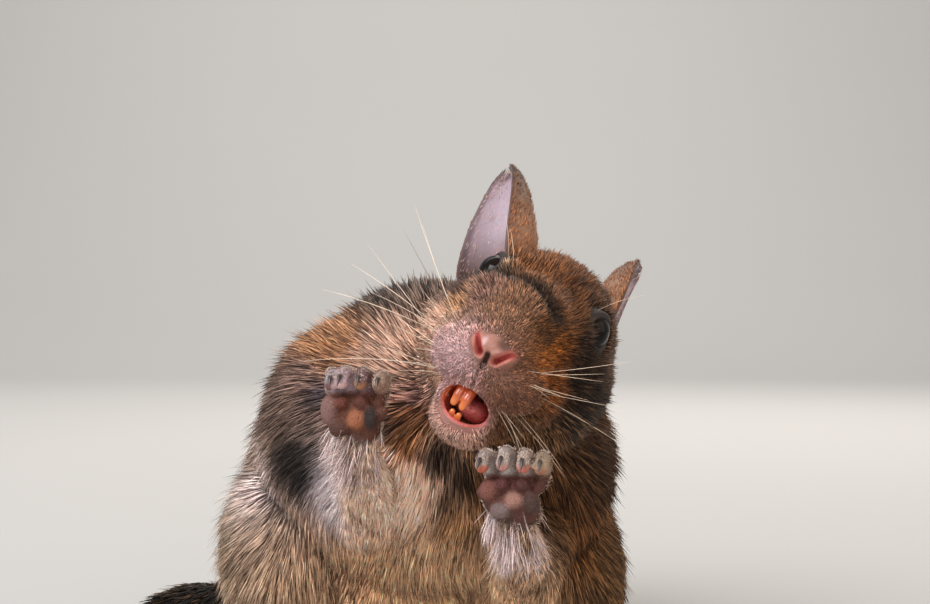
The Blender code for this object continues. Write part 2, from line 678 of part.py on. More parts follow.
def main():
    """Builds every node, each cut clear of what it grows from."""
    random.seed(11)
    nodes, cutters = clear_scene()
    head, jaw = make_head(nodes, cutters)
    make_eye(nodes, 1, "eye_left")
    make_eye(nodes, -1, "eye_right")
    make_ear(nodes, cutters, head, 1, "ear_left", EAR_TIP_LEFT, EAR_OPENS_LEFT)
    make_ear(nodes, cutters, head, -1, "ear_right", EAR_TIP_RIGHT, EAR_OPENS_RIGHT)
    make_teeth(nodes, cutters, head, jaw)
    make_tongue(nodes, cutters, head, jaw)
    chest, belly = make_torso(nodes, cutters, head, jaw)
    torso = [chest, belly]
    neck = make_neck(nodes, cutters, [head, jaw, *torso])
    thighs = [
        make_haunch(nodes, cutters, HAUNCH_RIGHT, torso, "right", 8),
        make_haunch(nodes, cutters, HAUNCH_LEFT, torso, "left", -8),
    ]
    make_foot(nodes, cutters, HEEL_RIGHT, [*torso, thighs[0]], -1, "right")
    make_foot(nodes, cutters, HEEL_LEFT, [*torso, thighs[1]], 1, "left")
    for shoulder, elbow, grip, side, side_name in (
        (SHOULDER_RIGHT, ELBOW_RIGHT, GRIP_RIGHT, -1, "right"),
        (SHOULDER_LEFT, ELBOW_LEFT, GRIP_LEFT, 1, "left"),
    ):
        arm = make_arm(nodes, cutters, shoulder, elbow, grip, [*torso, neck, head, jaw], side_name)
        make_hand(nodes, cutters, grip, arm[0], side, side_name)
    tail = make_tail(nodes, cutters, belly)
    make_tuft(nodes, cutters, tail[-1])
    for leftover in list(cutters.objects):
        bpy.data.objects.remove(leftover)
    centre_on_floor(nodes)


main()
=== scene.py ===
"""The looks of a life-size degu that sits up and grips with both fore paws, its mouth open.

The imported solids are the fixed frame. One skin takes the place of every solid of flesh, and carries
the coat as small solid tufts of hair. Modelling is done in millimetres in the animal's own layout: it
faces -Y, +X is its left side and +Z is up. Finished meshes are in metres, in the frame of the solids.
"""

import logging
import math
from collections.abc import Sequence
from dataclasses import dataclass, field
from enum import Enum

import bmesh
import bpy
import numpy as np
from mathutils import Matrix, Vector
from mathutils.bvhtree import BVHTree
from mathutils.kdtree import KDTree


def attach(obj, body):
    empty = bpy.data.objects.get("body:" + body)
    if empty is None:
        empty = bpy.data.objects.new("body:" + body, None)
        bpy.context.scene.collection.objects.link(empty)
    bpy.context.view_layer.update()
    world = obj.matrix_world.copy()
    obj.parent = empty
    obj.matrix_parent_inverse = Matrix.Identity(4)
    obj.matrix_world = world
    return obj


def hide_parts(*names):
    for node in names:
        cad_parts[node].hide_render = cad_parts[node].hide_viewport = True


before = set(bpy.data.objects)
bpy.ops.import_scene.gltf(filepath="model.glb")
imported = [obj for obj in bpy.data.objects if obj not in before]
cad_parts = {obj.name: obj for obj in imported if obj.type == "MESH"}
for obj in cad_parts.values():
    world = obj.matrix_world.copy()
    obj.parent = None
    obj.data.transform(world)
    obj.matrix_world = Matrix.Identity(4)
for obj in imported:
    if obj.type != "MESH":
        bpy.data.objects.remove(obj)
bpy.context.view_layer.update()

LOG = logging.getLogger("degu")
MM = 0.001
LAYOUT_SHIFT = Vector((14.6152, 19.7269, 0.0))
UV_NAME = "OFBake"
TUFT_PATCH = 0.003
RNG_SEED = 41
SIDES = (1, -1)

Triple = tuple[float, float, float]
Array = np.ndarray
Thing = bpy.types.Object
Material = bpy.types.Material


def turned(x: float = 0.0, y: float = 0.0, z: float = 0.0) -> Matrix:
    """A rotation by degrees about X, then Y, then Z."""
    turns = [Matrix.Rotation(math.radians(a), 4, axis) for a, axis in ((x, "X"), (y, "Y"), (z, "Z"))]
    return turns[2] @ turns[1] @ turns[0]


NOSE_TIP = Vector((10.9, -92.0, 70.0))
HEAD = Matrix.Translation(NOSE_TIP) @ turned(y=31.5) @ turned(z=-11.0) @ turned(x=6.0)
HEAD_TURN, HEAD_PLACE = np.array(HEAD)[:3, :3], np.array(HEAD)[:3, 3]
HEAD_BACK = np.array(HEAD.inverted())


def on_side(point: Sequence[float], side: int) -> Vector:
    """A point of the left side, or its twin on the right where side is -1."""
    return Vector((point[0] * side, point[1], point[2]))


def to_head(points: Array) -> Array:
    """Points of the layout, in the head's own frame."""
    return points @ HEAD_BACK[:3, :3].T + HEAD_BACK[:3, 3]


def from_head(points: Array) -> Array:
    """Points of the head's own frame, in the layout."""
    return points @ HEAD_TURN.T + HEAD_PLACE


def display(red: float, green: float, blue: float) -> Triple:
    """A linear colour from display values of 0 to 255."""
    return tuple(((v / 255 + 0.055) / 1.055) ** 2.4 if v > 10 else v / 3294.6 for v in (red, green, blue))


def unit(vectors: Array) -> Array:
    """Rows of an array scaled to length one."""
    return vectors / np.maximum(np.linalg.norm(vectors, axis=-1, keepdims=True), 1e-9)


def ease(low: float, high: float, values: Array) -> Array:
    """A smooth step from 0 at low to 1 at high, which may be given in falling order."""
    t = np.clip((values - low) / (high - low), 0.0, 1.0)
    return t * t * (3 - 2 * t)


def bell(values: Array, width: float, power: float = 2) -> Array:
    """A smooth hump, 1 where the values are 0, that falls away over width."""
    return np.exp(-((values / width) ** power))


def gap(points: Array, place: Sequence[float], size: float | Triple = 1.0) -> Array:
    """How far points are from a place, in units of size, which may differ along each axis."""
    return np.linalg.norm((points - np.array(place)) / np.array(size), axis=1)


def near_path(points: Array, path: Sequence[Sequence[float]]) -> tuple[Array, Array]:
    """How far points are from a line of straight runs.

    Args:
        points: The points, one a row.
        path: The line's corners in order.

    Returns:
        The distance of each point, and how far along the line its nearest place is, from 0 to 1.
    """
    best = np.full(len(points), 1e9)
    along = np.zeros(len(points))
    corners = [np.array(p, dtype=float) for p in path]
    spans = [np.linalg.norm(b - a) for a, b in zip(corners, corners[1:])]
    done = 0.0
    for a, b, span in zip(corners, corners[1:], spans):
        t = np.clip((points - a) @ (b - a) / span ** 2, 0.0, 1.0)
        away = np.linalg.norm(points - a - t[:, None] * (b - a), axis=1)
        closer = away < best
        best[closer] = away[closer]
        along[closer] = (done + t[closer] * span) / sum(spans)
        done += span
    return best, along


def soft_noise(points: Array, scale: float, seed: int, waves: int = 7) -> Array:
    """A smooth seeded noise from waves in several directions.

    Args:
        points: The points, one a row.
        scale: The size of one patch, in the points' own units.
        seed: Which noise it is.
        waves: How many waves it adds up.

    Returns:
        One value a point, from about -1 to 1.
    """
    rng = np.random.default_rng(seed)
    total = np.zeros(len(points))
    for _ in range(waves):
        direction = unit(rng.normal(size=3)) * rng.uniform(0.7, 1.5) * 2 * math.pi / (2.2 * scale)
        total += np.sin(points @ direction + rng.uniform(0, 2 * math.pi))
    return total / 3.2


# Modelling


def link(name: str, data: bpy.types.ID) -> Thing:
    """Makes a scene object of a mesh, a light or a camera."""
    made = bpy.data.objects.new(name, data)
    bpy.context.scene.collection.objects.link(made)
    return made


def settle(made: Thing) -> Thing:
    """Applies an object's modifiers to its mesh, and gives back the same object."""
    graph = bpy.context.evaluated_depsgraph_get()
    mesh = bpy.data.meshes.new_from_object(made.evaluated_get(graph))
    made.modifiers.clear()
    old = made.data
    made.data = mesh
    bpy.data.meshes.remove(old)
    return made


def show(bm: bmesh.types.BMesh, name: str) -> Thing:
    """Makes a scene object of a bmesh and frees the bmesh."""
    mesh = bpy.data.meshes.new(name)
    bm.to_mesh(mesh)
    bm.free()
    return link(name, mesh)


def pour(bm: bmesh.types.BMesh, into: bmesh.types.BMesh) -> None:
    """Adds one bmesh to another and frees it."""
    mesh = bpy.data.meshes.new("poured")
    bm.to_mesh(mesh)
    bm.free()
    into.from_mesh(mesh)
    bpy.data.meshes.remove(mesh)


def drop(made: Thing) -> None:
    """Removes a helper object with its mesh."""
    mesh = made.data
    bpy.data.objects.remove(made)
    bpy.data.meshes.remove(mesh)


class Clay:
    """Overlapping masses, in millimetres, that are melted into one closed surface."""

    def __init__(self, base: Matrix | None = None) -> None:
        """Starts an empty lump whose masses are placed in the frame of base."""
        self.bm = bmesh.new()
        self.base = base or Matrix()

    def mass(self, centre: Sequence[float], radii: Triple, turn: Matrix | None = None, fine: int = 3) -> None:
        """Adds an ellipsoid.

        Args:
            centre: Its middle.
            radii: Its half sizes.
            turn: Its own rotation.
            fine: How many times its icosphere is subdivided.
        """
        place = Matrix.Translation(Vector(centre)) @ (turn or Matrix()) @ Matrix.Diagonal((*radii, 1.0))
        bmesh.ops.create_icosphere(self.bm, subdivisions=fine, radius=1.0, matrix=self.base @ place)

    def limb(self, points: Sequence[Sequence[float]], radii: Sequence[float], step: float = 0.3) -> None:
        """Adds a tapered limb as a row of close beads.

        Args:
            points: Its middle line.
            radii: Its radius at each point.
            step: The gap between beads, as a share of their radius.
        """
        for start, end, first, last in zip(points, points[1:], radii, radii[1:]):
            start, end = Vector(start), Vector(end)
            beads = max(2, round((end - start).length / (step * min(first, last))))
            for t in (bead / beads for bead in range(beads + 1)):
                self.mass(start.lerp(end, t), (first + (last - first) * t,) * 3, fine=2)

    def melt(self, name: str, voxel: float, rounds: int) -> Thing:
        """Melts the masses into one surface.

        Args:
            name: The new object's name.
            voxel: The grain of the surface.
            rounds: How many times it is smoothed.

        Returns:
            An object whose mesh is in millimetres.
        """
        made = show(self.bm, name)
        remesh = made.modifiers.new("melt", "REMESH")
        remesh.mode = "VOXEL"
        remesh.voxel_size = voxel
        soften = made.modifiers.new("soften", "SMOOTH")
        soften.factor = 0.5
        soften.iterations = rounds
        return settle(made)


class Surface:
    """A closed triangle mesh as arrays, in millimetres."""

    def __init__(self, mesh: bpy.types.Mesh) -> None:
        """Reads the points and triangles of a mesh."""
        self.points = np.empty(len(mesh.vertices) * 3)
        mesh.vertices.foreach_get("co", self.points)
        self.points = self.points.reshape(-1, 3)
        mesh.calc_loop_triangles()
        self.faces = np.empty(len(mesh.loop_triangles) * 3, dtype=np.int32)
        mesh.loop_triangles.foreach_get("vertices", self.faces)
        self.faces = self.faces.reshape(-1, 3)
        runs = np.concatenate([self.faces[:, pair] for pair in ([0, 1], [1, 2], [2, 0])])
        self.edges = np.unique(np.sort(runs, axis=1), axis=0)

    def face_vectors(self) -> Array:
        """Each triangle's normal, as long as twice its area."""
        a, b, c = (self.points[self.faces[:, i]] for i in range(3))
        return np.cross(b - a, c - a)

    def normals(self) -> Array:
        """The unit normal at each point."""
        across = self.face_vectors()
        total = np.zeros_like(self.points)
        for corner in range(3):
            for axis in range(3):
                total[:, axis] += np.bincount(self.faces[:, corner], across[:, axis], len(self.points))
        return unit(total)

    def spread(self, values: Array, rounds: int) -> Array:
        """Evens out values over the surface.

        Args:
            values: One row a point.
            rounds: How many times each point takes its neighbours' mean.

        Returns:
            The evened values.
        """
        first, second = self.edges.T
        count = len(self.points)
        links = np.maximum(np.bincount(self.edges.ravel(), minlength=count)[:, None], 1)
        values = np.array(values, dtype=float).reshape(count, -1)
        for _ in range(rounds):
            sums = [
                np.bincount(first, c[second], count) + np.bincount(second, c[first], count) for c in values.T
            ]
            values = values + (np.stack(sums, 1) / links - values)
        return values


# The body's forms


class Form(Enum):
    """The parts of the body that differ in coat and in the lie of the hair."""

    HEAD = 0
    NECK = 1
    TRUNK = 2
    HAUNCH = 3
    FOOT = 4
    UPPER_ARM = 5
    FOREARM = 6
    HAND = 7
    TAIL = 8


def share_of(forms: Array, *kinds: Form) -> Array:
    """The share of some forms at each place, where forms has one column a form."""
    return sum(forms[:, kind.value] for kind in kinds)


@dataclass
class HeadForm:
    """The skull, muzzle, pads, lips and open mouth. Places are in the head's own frame."""

    eye_radius: float = 3.9
    eye_place: Triple = (9.2, 23.4, 9.0)
    eye_look: Triple = (0.86, -0.42, 0.29)
    lid_half: tuple[float, float] = (3.3, 2.7)
    mouth: Triple = (0.0, 5.8, -11.2)
    mouth_half: tuple[float, float] = (4.3, 3.6)
    mouth_depth: float = 8.4
    lip_half: tuple[float, float] = (4.8, 4.0)
    lip_bead: float = 0.85
    lip_beads: int = 32

    def eye(self, side: int) -> tuple[Vector, Vector]:
        """One eye's centre and the way it looks."""
        return on_side(self.eye_place, side), on_side(self.eye_look, side).normalized()

    def eye_gap(self, head: Array, side: int) -> Array:
        """How far points are from the middle of one eye."""
        return gap(head, self.eye(side)[0])

    def eye_turn(self, side: int) -> Matrix:
        """The rotation that takes +Z to the way one eye looks and keeps +Y near up."""
        z = self.eye(side)[1]
        x = Vector((0, 0, 1)).cross(z).normalized()
        return Matrix((x, z.cross(x), z)).transposed().to_4x4()

    def eye_view(self, head: Array, side: int) -> tuple[Array, Array]:
        """Points in one eye's own frame, and how far out of its slit each is, with 1 at the edge."""
        local = (head - np.array(self.eye(side)[0])) @ np.array(self.eye_turn(side))[:3, :3]
        return local, np.hypot(local[:, 0] / self.lid_half[0], local[:, 1] / self.lid_half[1])

    def mouth_view(self, head: Array) -> Array:
        """How far out of the mouth points are, seen from the front, with 1 at its edge."""
        x, z = head[:, 0] - self.mouth[0], head[:, 2] - self.mouth[2]
        return np.hypot(x / self.mouth_half[0], z / self.mouth_half[1])

    def skull(self) -> Thing:
        """The large forms, melted together."""
        clay = Clay(HEAD)
        clay.mass((0, 33, 4.0), (15.8, 17.0, 15.0))
        clay.mass((0, 21, 3.6), (10.8, 15.5, 10.8), turned(x=14))
        clay.mass((0, 11.5, -0.6), (8.8, 11.6, 8.4), turned(x=10))
        for side in SIDES:
            clay.mass((9.0 * side, 30, -3.0), (10.2, 15.0, 13.0), turned(z=-5 * side))
            clay.mass((6.2 * side, 19, -4.6), (7.4, 11.0, 8.4))
            clay.mass((7.6 * side, 21, 6.2), (5.2, 8.0, 6.0))
        clay.mass((0, 21, -12.6), (8.6, 13.0, 6.4), turned(x=-14))
        clay.mass((0, 12.0, -15.4), (6.0, 7.8, 3.9), turned(x=-10))
        return clay.melt("skull", 0.8, 22)

    def lips(self, clay: Clay) -> None:
        """Adds the ring of beads that makes the lips, set back at the corners of the mouth."""
        for step in range(self.lip_beads):
            angle = 2 * math.pi * step / self.lip_beads
            back = 2.8 * math.cos(angle) ** 2 - 0.9 - 0.9 * math.sin(angle)
            bead = Vector((self.lip_half[0] * math.cos(angle), back, self.lip_half[1] * math.sin(angle)))
            clay.mass(Vector(self.mouth) + bead, (self.lip_bead,) * 3, fine=2)

    def build(self) -> Thing:
        """The whole head with its pads and lips, and the mouth hollowed out."""
        clay, skull = Clay(HEAD), self.skull()
        clay.bm.from_mesh(skull.data)
        drop(skull)
        clay.mass((0, 1.9, 0.2), (3.4, 2.6, 2.5))
        clay.mass((0, 4.0, -3.4), (2.6, 2.8, 3.4))
        for side in SIDES:
            clay.mass((2.2 * side, 1.5, 0.0), (2.1, 1.9, 2.0))
            clay.mass((5.2 * side, 7.4, -3.9), (5.4, 6.8, 5.0), turned(z=-16 * side))
            clay.mass(self.eye(side)[0], (self.eye_radius + 0.5,) * 3)
        self.lips(clay)
        head = clay.melt("head_form", 0.4, 4)
        hollow = Clay(HEAD)
        middle = Vector(self.mouth) + Vector((0, self.mouth_depth / 2, 0.2))
        hollow.mass(middle, (self.mouth_half[0], self.mouth_depth, self.mouth_half[1]), turned(x=-6), fine=4)
        cutter = show(hollow.bm, "mouth_hollow")
        cut = head.modifiers.new("mouth", "BOOLEAN")
        cut.object = cutter
        cut.operation = "DIFFERENCE"
        cut.solver = "MANIFOLD"
        settle(head)
        drop(cutter)
        return head


@dataclass
class TrunkForm:
    """Chest, belly, rump, shoulders and neck."""

    chest: Triple = (2.0, -37.0, 50.0)
    belly: Triple = (-3.0, -13.0, 37.5)
    rump: Triple = (-1.0, 5.0, 25.0)
    shoulders: tuple[Triple, Triple] = ((-18.0, -41.0, 53.0), (21.5, -42.0, 46.0))

    def build(self) -> Thing:
        """The trunk as one smooth form."""
        clay = Clay()
        clay.mass(self.chest, (34.0, 30.0, 32.0), turned(x=-20))
        clay.mass(self.belly, (37.5, 38.0, 40.0))
        clay.mass(self.rump, (29.0, 25.5, 28.0))
        for shoulder in self.shoulders:
            clay.mass(shoulder, (16.0, 18.0, 21.0))
        return clay.melt("trunk_form", 1.4, 50)

    def neck(self) -> Thing:
        """The short thick neck."""
        back, chest = HEAD @ Vector((0, 36, 0)), Vector(self.chest)
        clay = Clay()
        clay.mass(back.lerp(chest, 0.34), (20.0, 17.0, 19.5), turned(y=14))
        clay.mass(back.lerp(chest, 0.16), (17.0, 15.0, 16.0), turned(y=20))
        return clay.melt("neck_form", 1.0, 8)


@dataclass(frozen=True)
class Pad:
    """One soft pad of a palm: its place across and up, its half sizes and its display colour; the one far out
    on the palm's +X edge is coloured as painted shadow.
    """

    across: float
    up: float
    half: tuple[float, float]
    tone: Triple


@dataclass(frozen=True)
class Finger:
    """One finger: its place across, its size, how far its tip leans, and its display colours."""

    across: float
    size: float
    lean: float
    back: Triple
    under: Triple


@dataclass
class PawForm:
    """One fore limb: upper arm, forearm, padded palm, hooked fingers and thumb."""

    side: int
    shoulder: Triple
    elbow: Triple
    grip: Triple
    palm: Triple
    fingers: tuple[Finger, ...]
    pads: tuple[Pad, ...]
    reach: float = 16.0
    girths: tuple[float, ...] = (1.2, 1.15, 1.1, 1.12, 1.12)

    def frame(self) -> Matrix:
        """The hand's own frame."""
        return Matrix.Translation(Vector(self.grip)) @ turned(z=-14.0)

    def wrist(self) -> Vector:
        """Where the forearm ends."""
        return self.frame() @ Vector((0, 3.2, -8.6))

    def view(self, points: Array, forms: Array) -> tuple[Array, Array]:
        """Points in the hand's own frame, and how far each belongs to this hand."""
        place, mine = np.array(self.frame()), gap(points, self.grip) < self.reach
        return (points - place[:3, 3]) @ place[:3, :3], share_of(forms, Form.HAND) * mine

    def digit(self, finger: Finger) -> list[Vector]:
        """Points of one finger that hooks forward, in the hand's frame."""
        offset, size, lean = finger.across, finger.size, finger.lean
        fan = offset * (1.0 + 0.05 * size)
        return [
            Vector((offset * 0.9, 0.9, -2.0)),
            Vector((fan, 1.9, 0.8 * size)),
            Vector((fan + 0.3 * lean, 1.2, 2.8 * size)),
            Vector((fan + 0.8 * lean, -0.9, 3.2 * size)),
            Vector((fan + lean, -2.2, 1.9 * size)),
        ]

    def claws(self) -> list[tuple[Vector, Vector, float]]:
        """Each claw's root, tip and radius, in the layout."""
        place, made = self.frame(), []
        for finger in self.fingers:
            root = self.digit(finger)[-1] + Vector((0.1 * finger.lean, -0.5, 0.75))
            made.append((place @ root, place @ (root + Vector((0.5 * finger.lean, -1.7, -1.3))), 0.58))
        return made

    def upper_arm(self) -> Thing:
        """The upper arm, from the shoulder to the elbow."""
        clay, shoulder, elbow = Clay(), Vector(self.shoulder), Vector(self.elbow)
        clay.limb([shoulder, shoulder.lerp(elbow, 0.6), elbow], (10.0, 9.0, 7.6))
        return clay.melt("upper_arm_form", 0.8, 6)

    def forearm(self) -> Thing:
        """The forearm, from the elbow to the wrist."""
        clay, elbow, wrist = Clay(), Vector(self.elbow), self.wrist()
        clay.limb([elbow, elbow.lerp(wrist, 0.5), wrist], (7.2, 6.0, 3.9))
        return clay.melt("forearm_form", 0.8, 6)

    def hand(self) -> Thing:
        """The palm with its pads, the fingers with their tips, and the thumb."""
        clay = Clay(self.frame())
        clay.mass((-0.9, 1.3, -3.9), (4.6, 2.5, 4.2))
        clay.mass((0.8, 1.6, -6.2), (3.4, 2.6, 3.4))
        for pad in self.pads:
            clay.mass((pad.across, -0.9, pad.up), (pad.half[0], 1.5, pad.half[1]))
        for finger in self.fingers:
            path = self.digit(finger)
            clay.limb(path, self.girths, step=0.2)
            for knuckle in (path[1], path[2]):
                clay.mass(knuckle, (1.28, 1.3, 1.05), fine=2)
            clay.mass(path[-1] + Vector((0, 0.0, -0.2)), (1.3, 1.15, 1.4), fine=2)
        clay.limb([(-4.0 * self.side, 0.4, -4.0), (-5.3 * self.side, -0.8, -3.0)], (1.3, 0.9))
        return clay.melt("hand_form", 0.26, 3)


@dataclass
class FootForm:
    """One haunch with its long hind foot, flat on the floor. Each toe has its place and its reach."""

    side: int
    heel: Triple
    haunch: Triple
    length: float = 38.0
    ball_share: float = 0.62
    toes: tuple[tuple[float, float], ...] = ((-3.7, 9.6), (-1.3, 12.6), (1.3, 12.8), (3.7, 9.8))

    def frame(self) -> Matrix:
        """The foot's own frame."""
        return Matrix.Translation(Vector(self.heel)) @ turned(z=8.0 * self.side)

    def thigh(self) -> Thing:
        """The large round form at the side of the belly."""
        clay = Clay()
        clay.mass(self.haunch, (15.0, 27.0, 24.5), turned(x=-14, y=-8 * self.side), fine=5)
        return show(clay.bm, "haunch_form")

    def foot(self) -> Thing:
        """The heel, sole and toes."""
        ball = -self.ball_share * self.length
        clay = Clay(self.frame())
        clay.limb([(0, 8, 8), (0, 0, 4.4), (0, ball * 0.5, 3.6), (0, ball, 3.2)], (4.6, 4.4, 4.2, 4.4))
        for offset, reach in self.toes:
            knuckle = Vector((offset * 1.1, ball - 0.45 * reach, 3.3))
            tip = Vector((offset * 1.35, ball - reach, 1.5))
            clay.limb([(offset * 0.8, ball, 2.6), knuckle, tip], (2.0, 1.6, 1.35))
        clay.limb([(-4.4 * self.side, ball * 0.7, 2.4), (-5.4 * self.side, ball * 0.98, 1.5)], (1.5, 1.1))
        return clay.melt("foot_form", 0.45, 3)

    def claws(self) -> list[tuple[Vector, Vector, float]]:
        """Each claw's root, tip and radius, in the layout."""
        place, made, ball = self.frame(), [], -self.ball_share * self.length
        for offset, reach in self.toes:
            root = Vector((offset * 1.35, ball - reach, 1.6))
            made.append((place @ root, place @ (root + Vector((offset * 0.05, -3.4, -0.9))), 0.75))
        return made


@dataclass
class TailForm:
    """The tail, which leaves the rump, comes down to the floor and curls round to the right."""

    length: float = 96.0
    sweep: float = 168.0
    root: Triple = (0.0, 22.0, 12.0)
    radii: tuple[float, float] = (5.0, 2.6)
    brush_core: float = 17.0

    def point(self, t: float) -> Vector:
        """A point of the middle line, from 0 at the root to 1 at the end."""
        sweep = math.radians(self.sweep) * t
        radius = self.length / math.radians(self.sweep)
        x = self.root[0] - radius * (1 - math.cos(sweep)) * 0.94
        y = self.root[1] - 6 + radius * math.sin(sweep) + 8 * t
        rest = self.radii[1] + (self.radii[0] - self.radii[1]) * (1 - t)
        lift = max(0.0, 1 - t / 0.22) ** 2
        return Vector((x, y, rest - 0.25 + lift * (self.root[2] - rest)))

    def build(self) -> Thing:
        """The whole tail with the core of its brush."""
        thick, thin = self.radii
        stops = [i / 24 for i in range(25)]
        clay = Clay()
        clay.limb([self.point(t) for t in stops], [thick + (thin - thick) * t ** 0.8 for t in stops])
        start, ahead = self.brush()
        core = [start + ahead * self.brush_core * t for t in (0.0, 0.35, 0.7, 1.0)]
        clay.limb(core, (2.7, 3.0, 2.6, 1.4))
        return clay.melt("tail_form", 0.5, 5)

    def brush(self) -> tuple[Vector, Vector]:
        """Where the brush at the tail's end starts, and the way it lies."""
        ahead = self.point(1.0) - self.point(0.97)
        ahead.z = 0.0
        ahead.normalize()
        start = self.point(1.0) - ahead * 8
        start.z = 3.2
        return start, ahead


RIGHT_PAW = PawForm(
    -1, (-18.0, -41.0, 53.0), (-11.5, -59.0, 39.0), (-11.8, -83.0, 62.6), (116, 64, 44),
    (
        Finger(-4.2, 0.92, 0.9, (160, 146, 154), (126, 88, 88)),
        Finger(-1.4, 1.04, -0.1, (190, 164, 172), (214, 176, 176)),
        Finger(1.5, 1.0, 0.1, (122, 92, 96), (176, 122, 86)),
        Finger(4.2, 0.84, 0.5, (176, 146, 128), (150, 112, 92)),
    ), (
        Pad(-4.2, -3.0, (1.6, 2.7), (160, 118, 112)),
        Pad(0.6, -4.5, (1.6, 1.9), (196, 120, 80)),
        Pad(-2.4, -6.2, (1.9, 1.6), (96, 56, 42)),
        Pad(-1.9, -1.8, (1.3, 1.2), (132, 66, 48)),
        Pad(1.4, -1.7, (1.3, 1.2), (112, 58, 44)),
        # Painted shadow at the palm's +X edge.
        Pad(3.3, -4.2, (1.3, 2.2), (34, 22, 18)),
    ),
)
LEFT_PAW = PawForm(
    1, (21.5, -42.0, 46.0), (17.5, -63.0, 28.0), (14.6, -90.0, 49.6), (106, 56, 44),
    (
        Finger(-3.9, 0.95, -0.7, (176, 164, 158), (206, 108, 82)),
        Finger(-1.0, 1.14, -0.3, (182, 172, 166), (200, 144, 134)),
        Finger(1.7, 1.02, 0.2, (178, 160, 150), (202, 122, 106)),
        Finger(4.5, 0.92, 0.2, (172, 148, 124), (170, 118, 92)),
    ), (
        Pad(-3.9, -2.6, (1.7, 2.0), (148, 90, 78)),
        Pad(0.3, -4.0, (1.6, 1.5), (198, 146, 130)),
        Pad(-2.0, -5.9, (1.9, 1.5), (148, 124, 122)),
        Pad(-1.6, -1.6, (1.3, 1.2), (104, 48, 42)),
        Pad(1.6, -1.6, (1.3, 1.2), (96, 46, 40)),
        # Painted shadow at the palm's +X edge.
        Pad(3.2, -4.4, (1.4, 2.0), (84, 56, 48)),
    ),
)


@dataclass
class Body:
    """Every form of the animal, in one place for the skin, the coat and the claws."""

    head: HeadForm = field(default_factory=HeadForm)
    trunk: TrunkForm = field(default_factory=TrunkForm)
    tail: TailForm = field(default_factory=TailForm)
    paws: tuple[PawForm, PawForm] = (RIGHT_PAW, LEFT_PAW)
    feet: tuple[FootForm, FootForm] = (
        FootForm(-1, (-22.5, -30.0, 0.0), (-29.0, -23.0, 23.5)),
        FootForm(1, (21.5, -30.0, 0.0), (25.5, -23.0, 23.5)),
    )

    def forms(self) -> list[tuple[Form, Thing]]:
        """Builds each form as an object of its own, in millimetres."""
        made = [
            (Form.HEAD, self.head.build()), (Form.NECK, self.trunk.neck()), (Form.TRUNK, self.trunk.build()),
        ]
        for foot in self.feet:
            made += [(Form.HAUNCH, foot.thigh()), (Form.FOOT, foot.foot())]
        for paw in self.paws:
            made += [(Form.UPPER_ARM, paw.upper_arm()), (Form.FOREARM, paw.forearm())]
            made.append((Form.HAND, paw.hand()))
        return [*made, (Form.TAIL, self.tail.build())]


# Markings: the colours that skin and coat share


@dataclass(frozen=True)
class Mark:
    """One patch of the coat: its place, its reach, its display colour and how strong it is."""

    name: str
    place: Triple
    reach: float
    tone: Triple
    weight: float = 1.0


# Marks on the head's left side (muzzle left, left cheek back, crown left, temple left, eye patch left, jaw
# left, throat left) are darker partly in their own browner coat and partly as painted shade on the side
# turned from the light.
HEAD_MARKS = (
    Mark("muzzle bridge", (-2.0, 9.0, 8.0), 5.0, (138, 106, 84)),
    Mark("muzzle right", (-9.0, 13.6, 6.9), 4.5, (140, 109, 98)),
    Mark("yellow patch", (-13.5, 18.0, 2.0), 3.2, (172, 136, 104)),
    Mark("muzzle left", (5.6, 9.0, 6.0), 3.4, (98, 66, 38)),
    Mark("left cheek", (7.4, 10.0, 3.4), 3.8, (158, 98, 38)),
    Mark("left cheek back", (10.2, 13.4, -0.6), 4.0, (120, 70, 24), 1.2),
    # The dark band is partly the coat's own dark fur and partly painted shade where the left cheek turns from
    # the light into the neck.
    Mark("dark band above", (11.6, 18.5, 6.5), 3.4, (46, 31, 20), 1.4),
    Mark("dark band", (13.8, 19.2, 2.2), 4.2, (40, 26, 17), 1.6),
    Mark("dark band below", (16.5, 24.0, -5.0), 5.4, (35, 26, 20), 1.4),
    Mark("crown", (-4.5, 25.0, 15.0), 7.0, (134, 88, 50)),
    Mark("crown left", (4.0, 24.0, 15.5), 6.0, (92, 56, 26)),
    Mark("temple left", (9.5, 30.0, 12.0), 6.0, (78, 51, 29)),
    Mark("back of the head", (0.0, 44.0, 12.0), 11.0, (108, 78, 50)),
    Mark("eye patch right", (-11.0, 19.5, 12.0), 3.0, (190, 164, 136)),
    Mark("eye patch left", (11.0, 21.5, 13.2), 2.4, (140, 104, 64)),
    Mark("temple right", (-15.0, 27.0, 4.0), 6.5, (82, 62, 58)),
    Mark("right cheek", (-12.0, 18.5, -5.0), 6.0, (180, 150, 136)),
    Mark("right cheek back", (-18.0, 30.0, -7.0), 8.0, (196, 164, 146)),
    Mark("right pad", (-5.6, 4.0, -4.8), 4.4, (192, 162, 166)),
    Mark("right lip", (-5.0, 5.0, -8.6), 3.2, (200, 170, 176)),
    Mark("left pad", (5.0, 4.2, -4.4), 3.3, (122, 84, 64)),
    Mark("chin", (0.0, 6.0, -16.5), 5.0, (190, 160, 152)),
    Mark("jaw right", (-9.0, 16.0, -13.5), 5.0, (176, 146, 128)),
    Mark("jaw left", (9.5, 13.0, -10.5), 4.6, (110, 78, 52)),
    Mark("jaw streak", (10.5, 21.0, -14.5), 3.4, (158, 122, 84)),
    Mark("throat left", (15.0, 23.0, -12.0), 5.6, (80, 57, 38)),
    Mark("throat", (0.0, 20.0, -20.0), 7.0, (146, 108, 74)),
)
